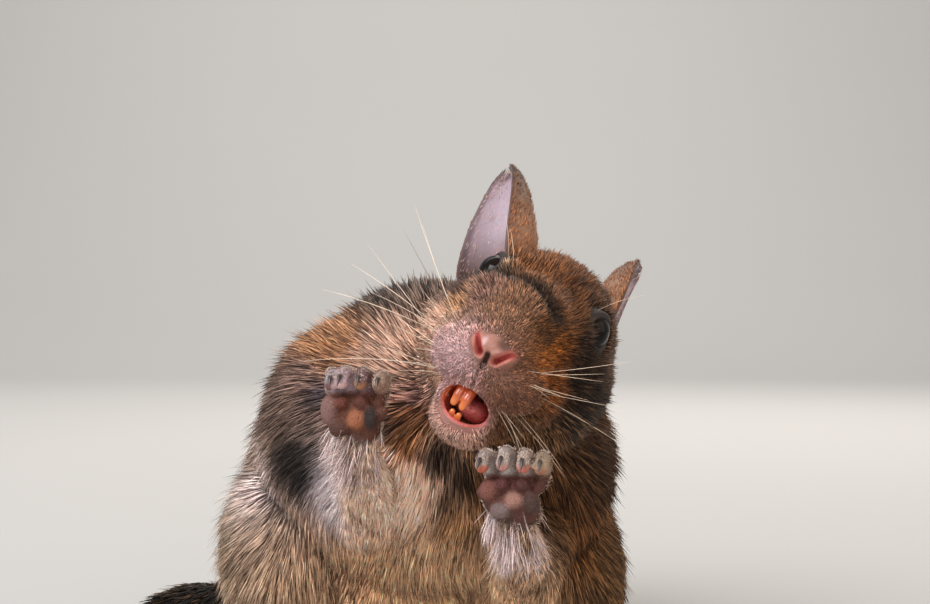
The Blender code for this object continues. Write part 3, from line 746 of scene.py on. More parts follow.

# Marks on the body's left side (breast left, arm left, side left, flank left low, flank left, haunch left)
# are darker partly in their own browner coat and partly as painted shade on the side turned from the light.
BODY_MARKS = (
    Mark("upper shoulder", (-4.0, -43.0, 81.0), 12.0, (42, 32, 29), 1.6),
    Mark("neck right", (-8.5, -57.0, 70.0), 7.0, (172, 144, 130), 1.4),
    Mark("throat right", (-2.5, -64.0, 61.0), 3.6, (156, 124, 122), 1.2),
    Mark("shoulder right", (-19.0, -50.0, 71.0), 8.0, (162, 122, 90)),
    Mark("side right", (-25.4, -53.2, 63.9), 5.5, (128, 108, 102)),
    Mark("side grey", (-29.5, -50.0, 58.0), 6.5, (118, 102, 96)),
    Mark("side dark", (-21.5, -56.5, 61.0), 3.6, (82, 74, 82)),
    Mark("flank black", (-25.5, -55.4, 46.0), 4.4, (22, 20, 24), 2.6),
    Mark("flank white", (-34.3, -37.0, 41.7), 6.4, (206, 197, 201), 1.6),
    Mark("arm white", (-19.0, -60.0, 41.8), 5.2, (206, 202, 216), 1.8),
    Mark("flank far", (-40.0, -30.0, 42.0), 8.0, (152, 140, 134), 1.4),
    Mark("haunch right", (-41.0, -24.0, 22.0), 17.0, (172, 154, 136)),
    Mark("throat golden", (-3.4, -65.2, 57.5), 4.5, (112, 74, 48)),
    Mark("breast golden", (-4.6, -66.2, 52.0), 3.6, (150, 102, 60)),
    Mark("breast cream", (-5.6, -67.3, 42.8), 6.0, (250, 222, 206), 2.4),
    Mark("breast cream low", (-8.0, -70.0, 37.0), 6.4, (226, 196, 176), 2.0),
    # Breast dark and breast dark low are partly dark streaks in the coat and partly painted shadow under the
    # left forearm.
    Mark("breast dark", (2.0, -66.7, 49.5), 3.2, (44, 30, 23), 1.7),
    Mark("breast dark low", (6.5, -66.0, 45.0), 3.0, (54, 40, 31), 1.5),
    Mark("breast streak", (3.0, -66.0, 41.0), 2.4, (70, 52, 38), 1.1),
    Mark("breast tan", (5.0, -65.0, 36.5), 4.0, (164, 128, 94)),
    # Painted shadow between the right arm and the body.
    Mark("shadow behind right paw", (-8.0, -66.0, 55.5), 3.4, (44, 34, 28), 1.8),
    Mark("breast left", (13.0, -66.0, 44.0), 6.0, (112, 80, 50)),
    Mark("belly", (0.0, -58.0, 18.0), 16.0, (206, 174, 142)),
    Mark("arm left", (25.5, -60.0, 40.5), 8.0, (86, 58, 32)),
    Mark("streak left", (22.5, -61.0, 48.5), 4.0, (140, 96, 56)),
    Mark("side left", (33.0, -52.0, 48.0), 10.0, (62, 42, 25)),
    Mark("flank left low", (30.0, -51.0, 32.0), 7.0, (118, 80, 44)),
    Mark("flank left", (40.0, -30.0, 40.0), 15.0, (94, 68, 42)),
    Mark("haunch left", (39.0, -22.0, 20.0), 16.0, (112, 86, 58)),
    Mark("nape", (4.0, -30.0, 84.0), 16.0, (104, 78, 54)),
    Mark("back", (0.0, 5.0, 68.0), 26.0, (104, 78, 52)),
    Mark("lower back", (0.0, 34.0, 34.0), 20.0, (98, 75, 50)),
    Mark("rump", (0.0, 28.0, 12.0), 14.0, (112, 88, 62)),
)


@dataclass(frozen=True)
class Glaze:
    """One soft oval of colour on the bare skin of the head, a few of them painted highlight and painted
    shadow: where it eases in, its display colour and moistness.
    """

    place: Triple
    half: Triple
    edge: tuple[float, float]
    tone: Triple
    strength: float
    moist: float = 0.0


GLAZES = (
    Glaze((-5.2, 4.6, -4.4), (5.6, 6.0, 4.8), (1.15, 0.6), (168, 138, 140), 0.9),
    # The left pad is browner partly in its own colour and partly as painted shade on the side turned from the
    # light.
    Glaze((5.2, 4.6, -4.4), (5.6, 6.0, 4.8), (1.15, 0.6), (110, 74, 58), 0.9),
    Glaze((0.0, 0.6, 0.0), (4.4, 3.4, 2.5), (1.15, 0.75), (156, 108, 94), 1.0, 0.3),
    # Painted highlight: a pale glint beside the right nostril.
    Glaze((-1.7, 0.0, 0.6), (0.75, 2.4, 1.3), (1.0, 0.3), (214, 178, 178), 0.85),
    # Painted shadow over the top of the nose on its left side.
    Glaze((2.2, 0.6, 1.7), (2.4, 2.6, 1.3), (1.2, 0.4), (78, 46, 36), 0.85),
)
CREASE = (
    (-10.5, 18.0, 9.6), (-7.1, 16.2, 11.0), (-3.0, 14.4, 11.9), (0.6, 12.8, 11.5), (3.4, 11.9, 10.2),
    (5.4, 12.2, 9.2),
)
NOSTRIL = ((1.5, -1.3), (2.0, -0.7), (2.6, 0.1), (3.1, 0.7), (3.4, 0.9))
PHILTRUM = ((0.0, -1.0), (0.0, -7.2))
DARKEST, PALEST = 0.002, 1.0


def nostril(side: int) -> list[tuple[float, float]]:
    """The line of one nostril, seen from the front."""
    return [(x * side, z) for x, z in NOSTRIL]


@dataclass
class Markings:
    """The colours of hair and skin at some points, given with the share of each form there."""

    body: Body
    points: Array
    forms: Array

    def __post_init__(self) -> None:
        """Finds the points in the head's frame, and starts with dry skin."""
        self.head = to_head(self.points)
        self.on_head = share_of(self.forms, Form.HEAD)
        self.moist = np.zeros(len(self.points))

    def column(self, *kinds: Form) -> Array:
        """The share of some forms, as a column."""
        return share_of(self.forms, *kinds)[:, None]

    @staticmethod
    def blend(points: Array, marks: Sequence[Mark]) -> Array:
        """Mixes patches of colour by how near each is.

        Args:
            points: Places, in the frame of the marks.
            marks: The patches.

        Returns:
            A linear colour for each place.
        """
        away = np.linalg.norm(points[:, None] - np.array([m.place for m in marks]), axis=2)
        away = away / np.array([m.reach for m in marks]) + 0.12 * soft_noise(points, 3.0, 5)[:, None]
        share = np.array([m.weight for m in marks]) / (0.05 + np.maximum(away, 0.0) ** 2) ** 2.2
        return (share / share.sum(1, keepdims=True)) @ np.array([display(*m.tone) for m in marks])

    def hair(self) -> Array:
        """The coat's main colour, linear, at each point."""
        face, body = self.blend(self.head, HEAD_MARKS), self.blend(self.points, BODY_MARKS)
        # Painted shade: the hair darkens along the fold across the muzzle.
        face *= 1 - 0.95 * bell(near_path(self.head, CREASE)[0], 2.3, 3)[:, None]
        for side in SIDES:
            face *= 1 - 0.75 * bell(self.body.head.eye_gap(self.head, side) - 4.2, 0.9)[:, None]
        colour = self.column(Form.HEAD) * face + self.column(Form.NECK) * (0.5 * face + 0.5 * body)
        colour += self.column(Form.TRUNK, Form.HAUNCH, Form.UPPER_ARM) * body
        pale, warm = np.array(display(208, 194, 188)), np.array(display(150, 120, 84))
        left = ease(-2.0, 10.0, self.points[:, 0])[:, None]
        wrist = pale * (1 - 0.45 * left) + warm * 0.45 * left
        colour += self.column(Form.FOREARM) * (0.8 * body + 0.2 * wrist)
        colour += (self.column(Form.FOOT) + 0.66 * self.column(Form.HAND)) * pale
        under = ease(3.5, 1.0, self.points[:, 2])[:, None]
        tail = np.array(display(64, 50, 40)) * (1 - under) + np.array(display(120, 104, 86)) * under
        return np.clip(colour + self.column(Form.TAIL) * tail, DARKEST, PALEST)

    def lay(self, tone: Triple, share: Array) -> None:
        """Lays a display colour over the skin."""
        self.skin = self.skin * (1 - share[:, None]) + np.array(display(*tone)) * share[:, None]

    def lay_wet(self, tone: Triple, share: Array) -> None:
        """Lays a display colour over the skin and makes it moist there."""
        self.lay(tone, share)
        self.moist = np.maximum(self.moist, share)

    def nose(self) -> None:
        """Colours the front of the head, its pads and the nose with a painted highlight and a painted shadow
        on it, and darkens the groove below it as painted shade.
        """
        _, y, z = self.head.T
        flat = self.head[:, [0, 2]]
        self.lay((128, 90, 74), 0.85 * ease(15.0, 3.0, y) * self.on_head * ease(9.0, 3.0, z))
        for glaze in GLAZES:
            share = ease(*glaze.edge, gap(self.head, glaze.place, glaze.half)) * self.on_head
            self.lay(glaze.tone, glaze.strength * share)
            self.moist = np.maximum(self.moist, glaze.moist * share)
        front = ease(6.0, 3.0, y) * self.on_head
        for side in SIDES:
            away, _ = near_path(flat, nostril(side))
            self.lay((188, 108, 96), 0.7 * ease(1.2, 0.6, away) * front)
            self.lay_wet((164, 66, 62), ease(0.6, 0.2, away) * front)
        # Painted shade darkens the groove below the nose.
        groove = ease(0.85, 0.25, near_path(flat, PHILTRUM)[0]) * ease(5.0, 3.0, y) * ease(-7.4, -3.6, z)
        self.lay((58, 28, 26), 0.95 * groove * self.on_head)

    def mouth(self) -> None:
        """Colours the lips, the inside of the mouth, orange by the teeth, and the rims of the eyes."""
        form, (x, y, z) = self.body.head, self.head.T
        rim = form.mouth_view(self.head)
        lips = ease(16.0, 12.0, y) * self.on_head * ease(1.6, 1.2, rim) * ease(0.9, 1.05, rim)
        self.lay((150, 102, 94), lips)
        middle = np.array(form.mouth) + (0, form.mouth_depth / 2, 0.2)
        reach = gap(self.head, middle, (form.mouth_half[0], form.mouth_depth, form.mouth_half[1]))
        inside = ease(1.14, 1.02, reach) * self.on_head
        self.lay_wet((196, 104, 98), inside)
        self.lay((246, 116, 60), inside * ease(2.2, -1.4, x) * ease(-13.8, -11.0, z))
        self.lay((206, 84, 64), inside * ease(8.0, 15.0, y))
        for side in SIDES:
            self.lay((38, 26, 24), ease(5.4, 4.5, form.eye_gap(self.head, side)) * self.on_head)

    def palm(self, paw: PawForm, normals: Array) -> None:
        """Colours one palm, its pads, and the back and underside of each finger.

        Args:
            paw: The fore limb.
            normals: The surface's normals.
        """
        local, mine = paw.view(self.points, self.forms)
        across, depth, up = local.T
        above = ease(-0.6, 0.5, up)
        self.lay(paw.palm, mine)
        # The pad far out on the +X edge lays painted shadow.
        for pad in paw.pads:
            near = np.hypot((across - pad.across) / pad.half[0], (up - pad.up) / pad.half[1])
            self.lay(pad.tone, mine * 0.9 * ease(1.25, 0.6, near) * ease(0.8, -0.6, depth))
        for finger in paw.fingers:
            away = np.abs(across - finger.across * 1.05 - 0.6 * finger.lean)
            near = mine * ease(1.9, 1.2, away) * above
            self.lay(finger.back, near)
            self.lay(finger.under, near * ease(0.35, -0.35, normals[:, 2]) * ease(-0.2, -1.4, depth))
        self.skin = self.skin * (1 - (0.42 - 0.3 * above) * mine)[:, None]

    def bare(self, normals: Array) -> tuple[Array, Array]:
        """The skin's own colour and how moist it is.

        Args:
            normals: The surface's normals.

        Returns:
            Linear colours, and moistness from 0 to 1.
        """
        self.skin = self.hair() * 0.36 + np.array(display(44, 36, 32)) * 0.4
        self.nose()
        self.mouth()
        for paw in self.body.paws:
            self.palm(paw, normals)
        soles = share_of(self.forms, Form.FOOT)
        self.lay((176, 140, 130), soles)
        self.lay((150, 104, 96), soles * ease(-0.2, -0.8, normals[:, 2]))
        self.lay((58, 46, 42), share_of(self.forms, Form.TAIL))
        return np.clip(self.skin, DARKEST, PALEST), self.moist


# Skin

SILVER = np.array((-5.0, -43.0, 80.0))
FLANK = np.array((-39.0, -34.0, 43.0))
RUFF = np.array((14.0, 23.0, -11.0))
MUZZLE = np.array((-1.0, 4.0, -9.5))
FOLLICLES = np.array([
    (3.2, -2.6), (4.8, -2.0), (6.4, -1.8), (2.6, -4.2), (4.2, -3.9), (5.8, -3.8), (7.4, -3.6), (3.0, -5.9),
    (4.6, -5.8), (6.2, -5.8), (3.8, -7.4), (5.4, -7.5),
])
COAT_DEPTH = {
    Form.NECK: 2.3, Form.TRUNK: 2.6, Form.HAUNCH: 2.4, Form.FOOT: 0.2, Form.UPPER_ARM: 2.0, Form.TAIL: 0.7,
}


@dataclass
class Skin:
    """One skin over the whole body: melted, sunk below the coat, sculpted, coloured and unwrapped.

    Its surface, forms, normals and unwrap stay on the instance for the coat.
    """

    body: Body
    grain: float = 0.36
    triangles: int = 100_000
    thin_levels: Triple = (0.15, 0.4, 1.0)
    fold_depth: float = 1.5
    floor_gap: float = 0.06
    chart_gap: float = 1.2

    def build(self) -> Thing:
        """Makes the finished skin."""
        clay = Clay()
        source = clay.bm
        for form, made in self.body.forms():
            before = len(source.faces)
            source.from_mesh(made.data)
            source.faces.ensure_lookup_table()
            for face in source.faces[before:]:
                face.material_index = form.value
            drop(made)
        finder = BVHTree.FromBMesh(source)
        owner = [face.material_index for face in source.faces]
        made = clay.melt("skin", self.grain, 3)
        LOG.info("skin melted: %d faces", len(made.data.polygons))
        self.thin(made)
        self.refine(made)
        self.surface = Surface(made.data)
        drop(made)
        kinds = np.array([owner[finder.find_nearest(Vector(p))[2]] for p in self.surface.points])
        self.forms = self.surface.spread(np.eye(len(Form))[kinds], 6)
        self.sink()
        self.sculpt()
        self.surface.points[:, 2] = np.maximum(self.surface.points[:, 2], self.floor_gap)
        self.normals = self.surface.normals()
        self.unwrap()
        return self.make()

    def detail(self, points: Array) -> Array:
        """How much a place may be thinned: 0 on the face, paws and toes, 1 under long hair."""
        head = to_head(points)
        share = np.minimum(1.0, 0.12 + ease(2.0, 9.0, gap(head, (0, 20, 0)) - 18))
        share[(head[:, 1] < 14) & (gap(head, (0, 6, -4)) < 17)] = 0.0
        for side in SIDES:
            share[self.body.head.eye_gap(head, side) < 6.5] = 0.0
        for paw in self.body.paws:
            share[gap(points - np.array(paw.grip), (0, 0, -2)) < 11.0] = 0.0
        toes = (points[:, 2] < 7.0) & (points[:, 1] < -48) & (np.abs(points[:, 0]) > 8)
        share[toes] = self.thin_levels[0]
        return share

    def thin(self, made: Thing) -> None:
        """Thins the mesh where long hair hides it."""
        points = np.empty(len(made.data.vertices) * 3)
        made.data.vertices.foreach_get("co", points)
        share = self.detail(points.reshape(-1, 3))
        group = made.vertex_groups.new(name="thin")
        for above, level in zip((-1.0, *self.thin_levels), self.thin_levels):
            chosen = np.nonzero((share > above) & (share <= level))[0]
            group.add(chosen.tolist(), level, "REPLACE")
        fewer = made.modifiers.new("fewer", "DECIMATE")
        fewer.ratio = self.triangles / (2 * len(made.data.polygons))
        fewer.vertex_group = "thin"
        fewer.use_collapse_triangulate = True
        settle(made)
        LOG.info("skin thinned: %d faces", len(made.data.polygons))

    def refine(self, made: Thing) -> None:
        """Divides the mesh once more round the nose, lips, lids and fold."""
        bm = bmesh.new()
        bm.from_mesh(made.data)
        head = to_head(np.array([v.co for v in bm.verts]))
        fine = (gap(head, (0, 3, -5)) < 10.5) & (head[:, 1] < 7.5)
        fine |= near_path(head, CREASE)[0] < 2.2
        for side in SIDES:
            fine |= self.body.head.eye_gap(head, side) < 5.6
        edges = [e for e in bm.edges if fine[e.verts[0].index] and fine[e.verts[1].index]]
        bmesh.ops.subdivide_edges(bm, edges=edges, cuts=1, use_grid_fill=True)
        bmesh.ops.triangulate(bm, faces=bm.faces)
        bm.to_mesh(made.data)
        bm.free()
        LOG.info("skin refined: %d triangles", len(made.data.polygons))

    def share(self, *kinds: Form) -> Array:
        """The share of some forms at each point of the skin."""
        return share_of(self.forms, *kinds)

    def sink(self) -> None:
        """Moves the skin in by the depth of the coat, and less where the coat bulges."""
        surface, on_head = self.surface, self.share(Form.HEAD)
        points, head = surface.points, to_head(surface.points)
        depth = 0.15 + 1.75 * ease(5.0, 27.0, head[:, 1])
        rim = np.hypot(head[:, 0] / 5.6, (head[:, 2] + 11.2) / 5.0)
        depth = depth * np.where(head[:, 1] < 14, ease(0.95, 1.5, rim), 1.0)
        for side in SIDES:
            depth *= ease(4.6, 8.0, self.body.head.eye_gap(head, side))
        depth = depth * on_head
        for form, amount in COAT_DEPTH.items():
            depth = depth + amount * self.share(form)
        for paw in self.body.paws:
            reach = gap(points, paw.wrist())
            depth = depth + self.share(Form.FOREARM) * (reach < 40) * (0.3 + 1.0 * ease(3.0, 16.0, reach))
        depth = depth - 2.8 * bell(gap(points, SILVER), 15.0) * (1 - on_head)
        depth = depth - 3.2 * bell(gap(points, FLANK), 15.0)
        depth = surface.spread(depth, 12)
        surface.points = points - unit(surface.spread(surface.normals(), 8)) * depth

    def sculpt(self) -> None:
        """Works the small forms of the face into the skin, in the head's frame."""
        on_head = self.share(Form.HEAD)
        normals = self.surface.normals() @ HEAD_TURN
        head = to_head(self.surface.points)
        near, along = near_path(head, CREASE)
        ends = ease(0.0, 0.12, along) * ease(1.0, 0.85, along) * on_head
        fold = -self.fold_depth * bell(near, 0.95) + 0.5 * bell(near - 2.6, 1.3)
        head = head + normals * (fold * ends)[:, None]
        front = ease(6.5, 4.5, head[:, 1]) * on_head
        for side in SIDES:
            away, run = near_path(head[:, [0, 2]], nostril(side))
            head[:, 1] += front * (1.7 - 1.0 * run) * bell(away, 0.52 - 0.22 * run, 2.4)
            head[:, 1] -= front * 0.34 * bell(away - 1.05, 0.42)
        head[:, 1] += front * 0.85 * bell(near_path(head[:, [0, 2]], PHILTRUM)[0], 0.36)
        for side in SIDES:
            for x, z in FOLLICLES * (side, 1):
                head[:, 1] -= front * 0.16 * bell(np.hypot(head[:, 0] - x, head[:, 2] - z), 0.42)
            self.lids(head, side, on_head)
        self.surface.points = from_head(head)

    def lids(self, head: Array, side: int, on_head: Array) -> None:
        """Shapes one eye's socket and the thick rims of its lids.

        Args:
            head: The skin's points in the head's frame, changed in place.
            side: 1 for the left eye, -1 for the right.
            on_head: How far each point belongs to the head.
        """
        form = self.body.head
        local, slit = form.eye_view(head, side)
        reach = np.linalg.norm(local, axis=1)
        rim = form.eye_radius + 0.28 + 0.42 * bell(slit - 1.28, 0.16)
        socket = form.eye_radius - 0.7
        goal = socket + (rim - socket) * ease(0.98, 1.1, slit)
        mask = ease(1.75, 1.4, slit) * (local[:, 2] > 0) * (reach < form.eye_radius + 3.5) * (on_head > 0.3)
        scale = (goal * mask + reach * (1 - mask)) / np.maximum(reach, 1e-6)
        turn = np.array(form.eye_turn(side))[:3, :3]
        head[:] = (local * scale[:, None]) @ turn.T + np.array(form.eye(side)[0])

    def charts(self) -> list[tuple[Array, float, float]]:
        """Parts the skin into flat charts, one for each form, side and way it faces.

        Returns:
            The triangles of each chart with its width and height, the widest first. Their places
            within the chart are set on the unwrap.
        """
        surface = self.surface
        across = unit(surface.face_vectors())
        left = surface.points[surface.faces].mean(axis=1)[:, 0] > 0
        way = np.argmax(np.abs(across), axis=1)
        sign = (np.take_along_axis(across, way[:, None], 1)[:, 0] > 0).astype(int)
        kind = np.argmax(self.forms[surface.faces].mean(axis=1), axis=1)
        key = ((kind * 2 + left) * 3 + way) * 2 + sign
        self.uv = np.zeros((len(surface.faces), 3, 2))
        found = []
        for chart in np.unique(key):
            chosen = np.nonzero(key == chart)[0]
            axes = [axis for axis in range(3) if axis != (chart // 2) % 3]
            flat = surface.points[surface.faces[chosen]][:, :, axes]
            low = flat.min(axis=(0, 1))
            self.uv[chosen] = flat - low
            found.append((chosen, *(flat.max(axis=(0, 1)) - low)))
        return sorted(found, key=lambda c: -c[2])

    def unwrap(self) -> None:
        """Sets the charts on shelves across the unwrap."""
        charts, gap_between = self.charts(), self.chart_gap
        limit = 1.1 * math.sqrt(sum((w + gap_between) * (h + gap_between) for _, w, h in charts))
        left, base, shelf, widest = gap_between, gap_between, 0.0, 0.0
        for chosen, width, height in charts:
            if left + width + gap_between > limit:
                left, base, shelf = gap_between, base + shelf + gap_between, 0.0
            self.uv[chosen] += (left, base)
            left += width + gap_between
            shelf, widest = max(shelf, height), max(widest, left)
        self.uv /= max(widest, base + shelf + gap_between)

    def make(self) -> Thing:
        """Makes the skin's object, with its colours and its unwrap."""
        colour, moist = Markings(self.body, self.surface.points, self.forms).bare(self.normals)
        mesh = fill_mesh("skin", self.surface.points, self.surface.faces, self.uv)
        add_colour(mesh, "Marking", colour)
        add_number(mesh, "Moist", moist)
        add_number(mesh, "Paw", np.clip(self.share(Form.HAND, Form.FOOT), 0, 1))
        return link("skin", mesh)


def fill_mesh(name: str, points: Array, faces: Array, uv: Array) -> bpy.types.Mesh:
    """Makes a smooth mesh of triangles, moved from the layout to the frame of the solids.

    Args:
        name: The mesh's name.
        points: Its points, in millimetres.
        faces: Its triangles.
        uv: The place of each triangle's corners on the unwrap.

    Returns:
        The mesh.
    """
    mesh, count = bpy.data.meshes.new(name), len(faces)
    mesh.vertices.add(len(points))
    mesh.vertices.foreach_set("co", ((points + np.array(LAYOUT_SHIFT)) * MM).astype(np.float32).ravel())
    mesh.loops.add(count * 3)
    mesh.loops.foreach_set("vertex_index", np.ascontiguousarray(faces, dtype=np.int32).ravel())
    mesh.polygons.add(count)
    mesh.polygons.foreach_set("loop_start", np.arange(0, count * 3, 3, dtype=np.int32))
    mesh.update(calc_edges=True)
    mesh.uv_layers.new(name=UV_NAME).data.foreach_set("uv", uv.astype(np.float32).ravel())
    mesh.shade_smooth()
    return mesh


def add_colour(mesh: bpy.types.Mesh, name: str, colours: Array) -> None:
    """Stores one linear colour a point."""
    full = np.column_stack([colours, np.ones(len(colours))]).astype(np.float32)
    mesh.attributes.new(name, "FLOAT_COLOR", "POINT").data.foreach_set("color", full.ravel())


def add_number(mesh: bpy.types.Mesh, name: str, values: Array) -> None:
    """Stores one number a point."""
    mesh.attributes.new(name, "FLOAT", "POINT").data.foreach_set("value", values.astype(np.float32))


# Finishes


@dataclass(frozen=True)
class Sock:
    """A shader socket that takes part in sums: numbers become Math nodes, the rest Vector Math."""

    sheet: "Shade"
    socket: bpy.types.NodeSocket

    def wide(self) -> bool:
        """Whether the socket carries a colour or a vector."""
        return self.socket.type in {"RGBA", "VECTOR"}

    def join(self, operation: str, other: "Sock | float | Triple", swapped: bool = False) -> "Sock":
        """Joins this socket with another value by one operation.

        Args:
            operation: The node's operation.
            other: A socket, a number or three numbers.
            swapped: Whether the other value comes first.

        Returns:
            The result's socket.
        """
        wide = self.wide() or isinstance(other, tuple) or (isinstance(other, Sock) and other.wide())
        if wide and isinstance(other, (int, float)):
            other = (float(other),) * 3
        pair = {0: other, 1: self} if swapped else {0: self, 1: other}
        kind = "ShaderNodeVectorMath" if wide else "ShaderNodeMath"
        return self.sheet.node(kind, {"operation": operation}, pair)

    def __add__(self, other: "Sock | float | Triple") -> "Sock":
        """The sum."""
        return self.join("ADD", other)

    def __radd__(self, other: "float | Triple") -> "Sock":
        """The sum, the other way round."""
        return self.join("ADD", other, True)

    def __sub__(self, other: "Sock | float | Triple") -> "Sock":
        """The difference."""
        return self.join("SUBTRACT", other)

    def __rsub__(self, other: "float | Triple") -> "Sock":
        """The difference, the other way round."""
        return self.join("SUBTRACT", other, True)

    def __mul__(self, other: "Sock | float | Triple") -> "Sock":
        """The product."""
        return self.join("MULTIPLY", other)

    def __rmul__(self, other: "float | Triple") -> "Sock":
        """The product, the other way round."""
        return self.join("MULTIPLY", other, True)


class Shade:
    """One material's node sheet round a Principled shader."""

    def __init__(self, name: str, **fixed: float | tuple) -> None:
        """Starts a material.

        Args:
            name: The material's name.
            fixed: Shader sockets that hold one value all over, with _ for each space.
        """
        self.material = bpy.data.materials.new(name)
        self.material.use_nodes = True
        self.tree = self.material.node_tree
        self.shader = self.tree.nodes["Principled BSDF"]
        for key, value in fixed.items():
            self.shader.inputs[key.replace("_", " ")].default_value = value

    def node(
        self, kind: str, settings: dict | None = None, values: dict | None = None, output: int | str = 0
    ) -> Sock:
        """Adds a node.

        Args:
            kind: The node's type.
            settings: Properties set before its sockets, with a ramp's stops under "stops".
            values: Numbers, colours or sockets for its inputs.
            output: The output wanted.

        Returns:
            That output's socket.
        """
        made = self.tree.nodes.new(kind)
        for key, value in (settings or {}).items():
            if key == "stops":
                self.set_stops(made.color_ramp, value)
            else:
                setattr(made, key, value)
        for key, value in (values or {}).items():
            if isinstance(value, Sock):
                self.tree.links.new(value.socket, made.inputs[key])
            else:
                made.inputs[key].default_value = value
        return Sock(self, made.outputs[output])

    @staticmethod
    def set_stops(ramp: bpy.types.ColorRamp, stops: Sequence[tuple[float, float | Triple]]) -> None:
        """Sets a ramp's stops, each a place and a grey or a colour."""
        while len(ramp.elements) > 1:
            ramp.elements.remove(ramp.elements[-1])
        for index, (place, colour) in enumerate(stops):
            element = ramp.elements[0] if index == 0 else ramp.elements.new(place)
            element.position = place
            shade = colour if isinstance(colour, tuple) else (colour,) * 3
            element.color = (*shade, 1.0)

    def ramp(self, value: Sock, *stops: tuple[float, float | Triple]) -> Sock:
        """A value led through a ramp."""
        return self.node("ShaderNodeValToRGB", {"stops": stops}, {"Fac": value}, "Color")

    def attribute(self, name: str, output: str = "Color") -> Sock:
        """One of the mesh's own attributes."""
        return self.node("ShaderNodeAttribute", {"attribute_name": name}, None, output)

    def place(self) -> Sock:
        """The place on the piece, in metres."""
        return self.node("ShaderNodeTexCoord", None, None, "Object")

    def noise(self, scale: float, detail: float = 3.0) -> Sock:
        """A cloudy noise with scale patches to the metre, from 0 to 1."""
        values = {"Vector": self.place(), "Scale": scale, "Detail": detail, "Roughness": 0.55}
        return self.node("ShaderNodeTexNoise", None, values, "Fac")

    def cells(self, scale: float, feature: str = "F1") -> Sock:
        """The distance to the nearest of scattered points, or to a border between them."""
        values = {"Vector": self.place(), "Scale": scale}
        return self.node("ShaderNodeTexVoronoi", {"feature": feature}, values, "Distance")

    def mix(self, first: "Sock | Triple", second: "Sock | Triple", share: "Sock | float") -> Sock:
        """A mix of two colours, of which share is the second."""
        full = [(*value, 1.0) if isinstance(value, tuple) else value for value in (first, second)]
        settings = {"data_type": "RGBA", "clamp_factor": True}
        return self.node("ShaderNodeMix", settings, {0: share, 6: full[0], 7: full[1]}, 2)

    def feed(self, name: str, value: Sock) -> None:
        """Leads a value to one of the shader's sockets."""
        self.tree.links.new(value.socket, self.shader.inputs[name])

    def dress(
        self, colour: Sock, rough: Sock, height: Sock | None = None, distance: float = 0.0,
        strength: float = 1.0,
    ) -> Material:
        """Leads the finish to the shader.

        Args:
            colour: Its base colour.
            rough: Its roughness.
            height: Its fine relief, or None where it is smooth.
            distance: How far the relief rises, in metres.
            strength: How strongly the relief shows.

        Returns:
            The finished material.
        """
        self.feed("Base Color", colour)
        self.feed("Roughness", rough)
        if height:
            values = {"Strength": strength, "Distance": distance, "Height": height}
            self.feed("Normal", self.node("ShaderNodeBump", None, values))
        return self.material


@dataclass(frozen=True)
class SkinFinish:
    """Bare skin: pores, fine creases, moist lips and nose, ridged pads."""

    blotch_scale: float = 420.0
    grain_scale: float = 3200.0
    pore_scale: float = 2600.0
    ridge_scale: float = 2100.0
    freckle_scale: float = 900.0
    fold_scale: float = 620.0
    freckle_tint: Triple = (0.62, 0.5, 0.46)
    relief: float = 0.0002

    def make(self) -> Material:
        """The skin's material."""
        shade = Shade(
            "degu_skin", Subsurface_Weight=0.16, Subsurface_Scale=0.0016, Specular_IOR_Level=0.45,
            Subsurface_Radius=(1.0, 0.35, 0.22),
        )
        moist, paw = shade.attribute("Moist", "Fac"), shade.attribute("Paw", "Fac")
        blotch, fine = shade.noise(self.blotch_scale, 4.0), shade.noise(self.grain_scale, 2.0)
        pores, ridges = shade.cells(self.pore_scale), shade.cells(self.ridge_scale, "DISTANCE_TO_EDGE")
        tone = shade.attribute("Marking") * (0.68 + 0.42 * blotch + 0.22 * fine)
        freckle = shade.ramp(shade.noise(self.freckle_scale, 2.0), (0.6, 0.0), (0.72, 1.0))
        tone = shade.mix(tone, tone * self.freckle_tint, freckle * paw * 0.7)
        rough = 0.6 - 0.34 * moist + 0.12 * blotch
        folds = shade.ramp(shade.cells(self.fold_scale, "DISTANCE_TO_EDGE"), (0.0, 0.0), (0.12, 1.0))
        relief = pores * (0.5 - 0.3 * moist) + fine * 0.35
        relief = relief + paw * shade.ramp(ridges, (0.0, 0.0), (0.2, 1.0)) * 0.4 + paw * folds * 0.35
        return shade.dress(tone, rough, relief, self.relief, 0.9)


@dataclass(frozen=True)
class CoatFinish:
    """Hair: dark at its root, clear along its length, ticked at its tip."""

    name: str = "degu_coat"
    roughness: float = 0.52
    root_shade: float = 0.32
    tint: Triple = (1.14, 1.02, 0.93)
    strand_scale: float = 2400.0
    relief: float = 0.00006

    def make(self) -> Material:
        """The coat's material."""
        shade = Shade(self.name, Specular_IOR_Level=0.2, Sheen_Weight=0.015, Sheen_Roughness=0.5)
        along = shade.attribute("Along", "Fac")
        body = shade.ramp(along, (0.0, self.root_shade), (0.22, 0.62), (0.45, 1.0), (1.0, 1.04))
        tip = shade.ramp(along, (0.6, 0.0), (0.86, 1.0))
        strand = shade.noise(self.strand_scale, 2.0)
        tone = shade.mix(shade.attribute("Coat") * body, shade.attribute("Tip"), tip)
        tone = tone * self.tint * (1.0 + 0.45 * strand)
        return shade.dress(tone, self.roughness + 0.16 * strand, strand, self.relief, 0.5)


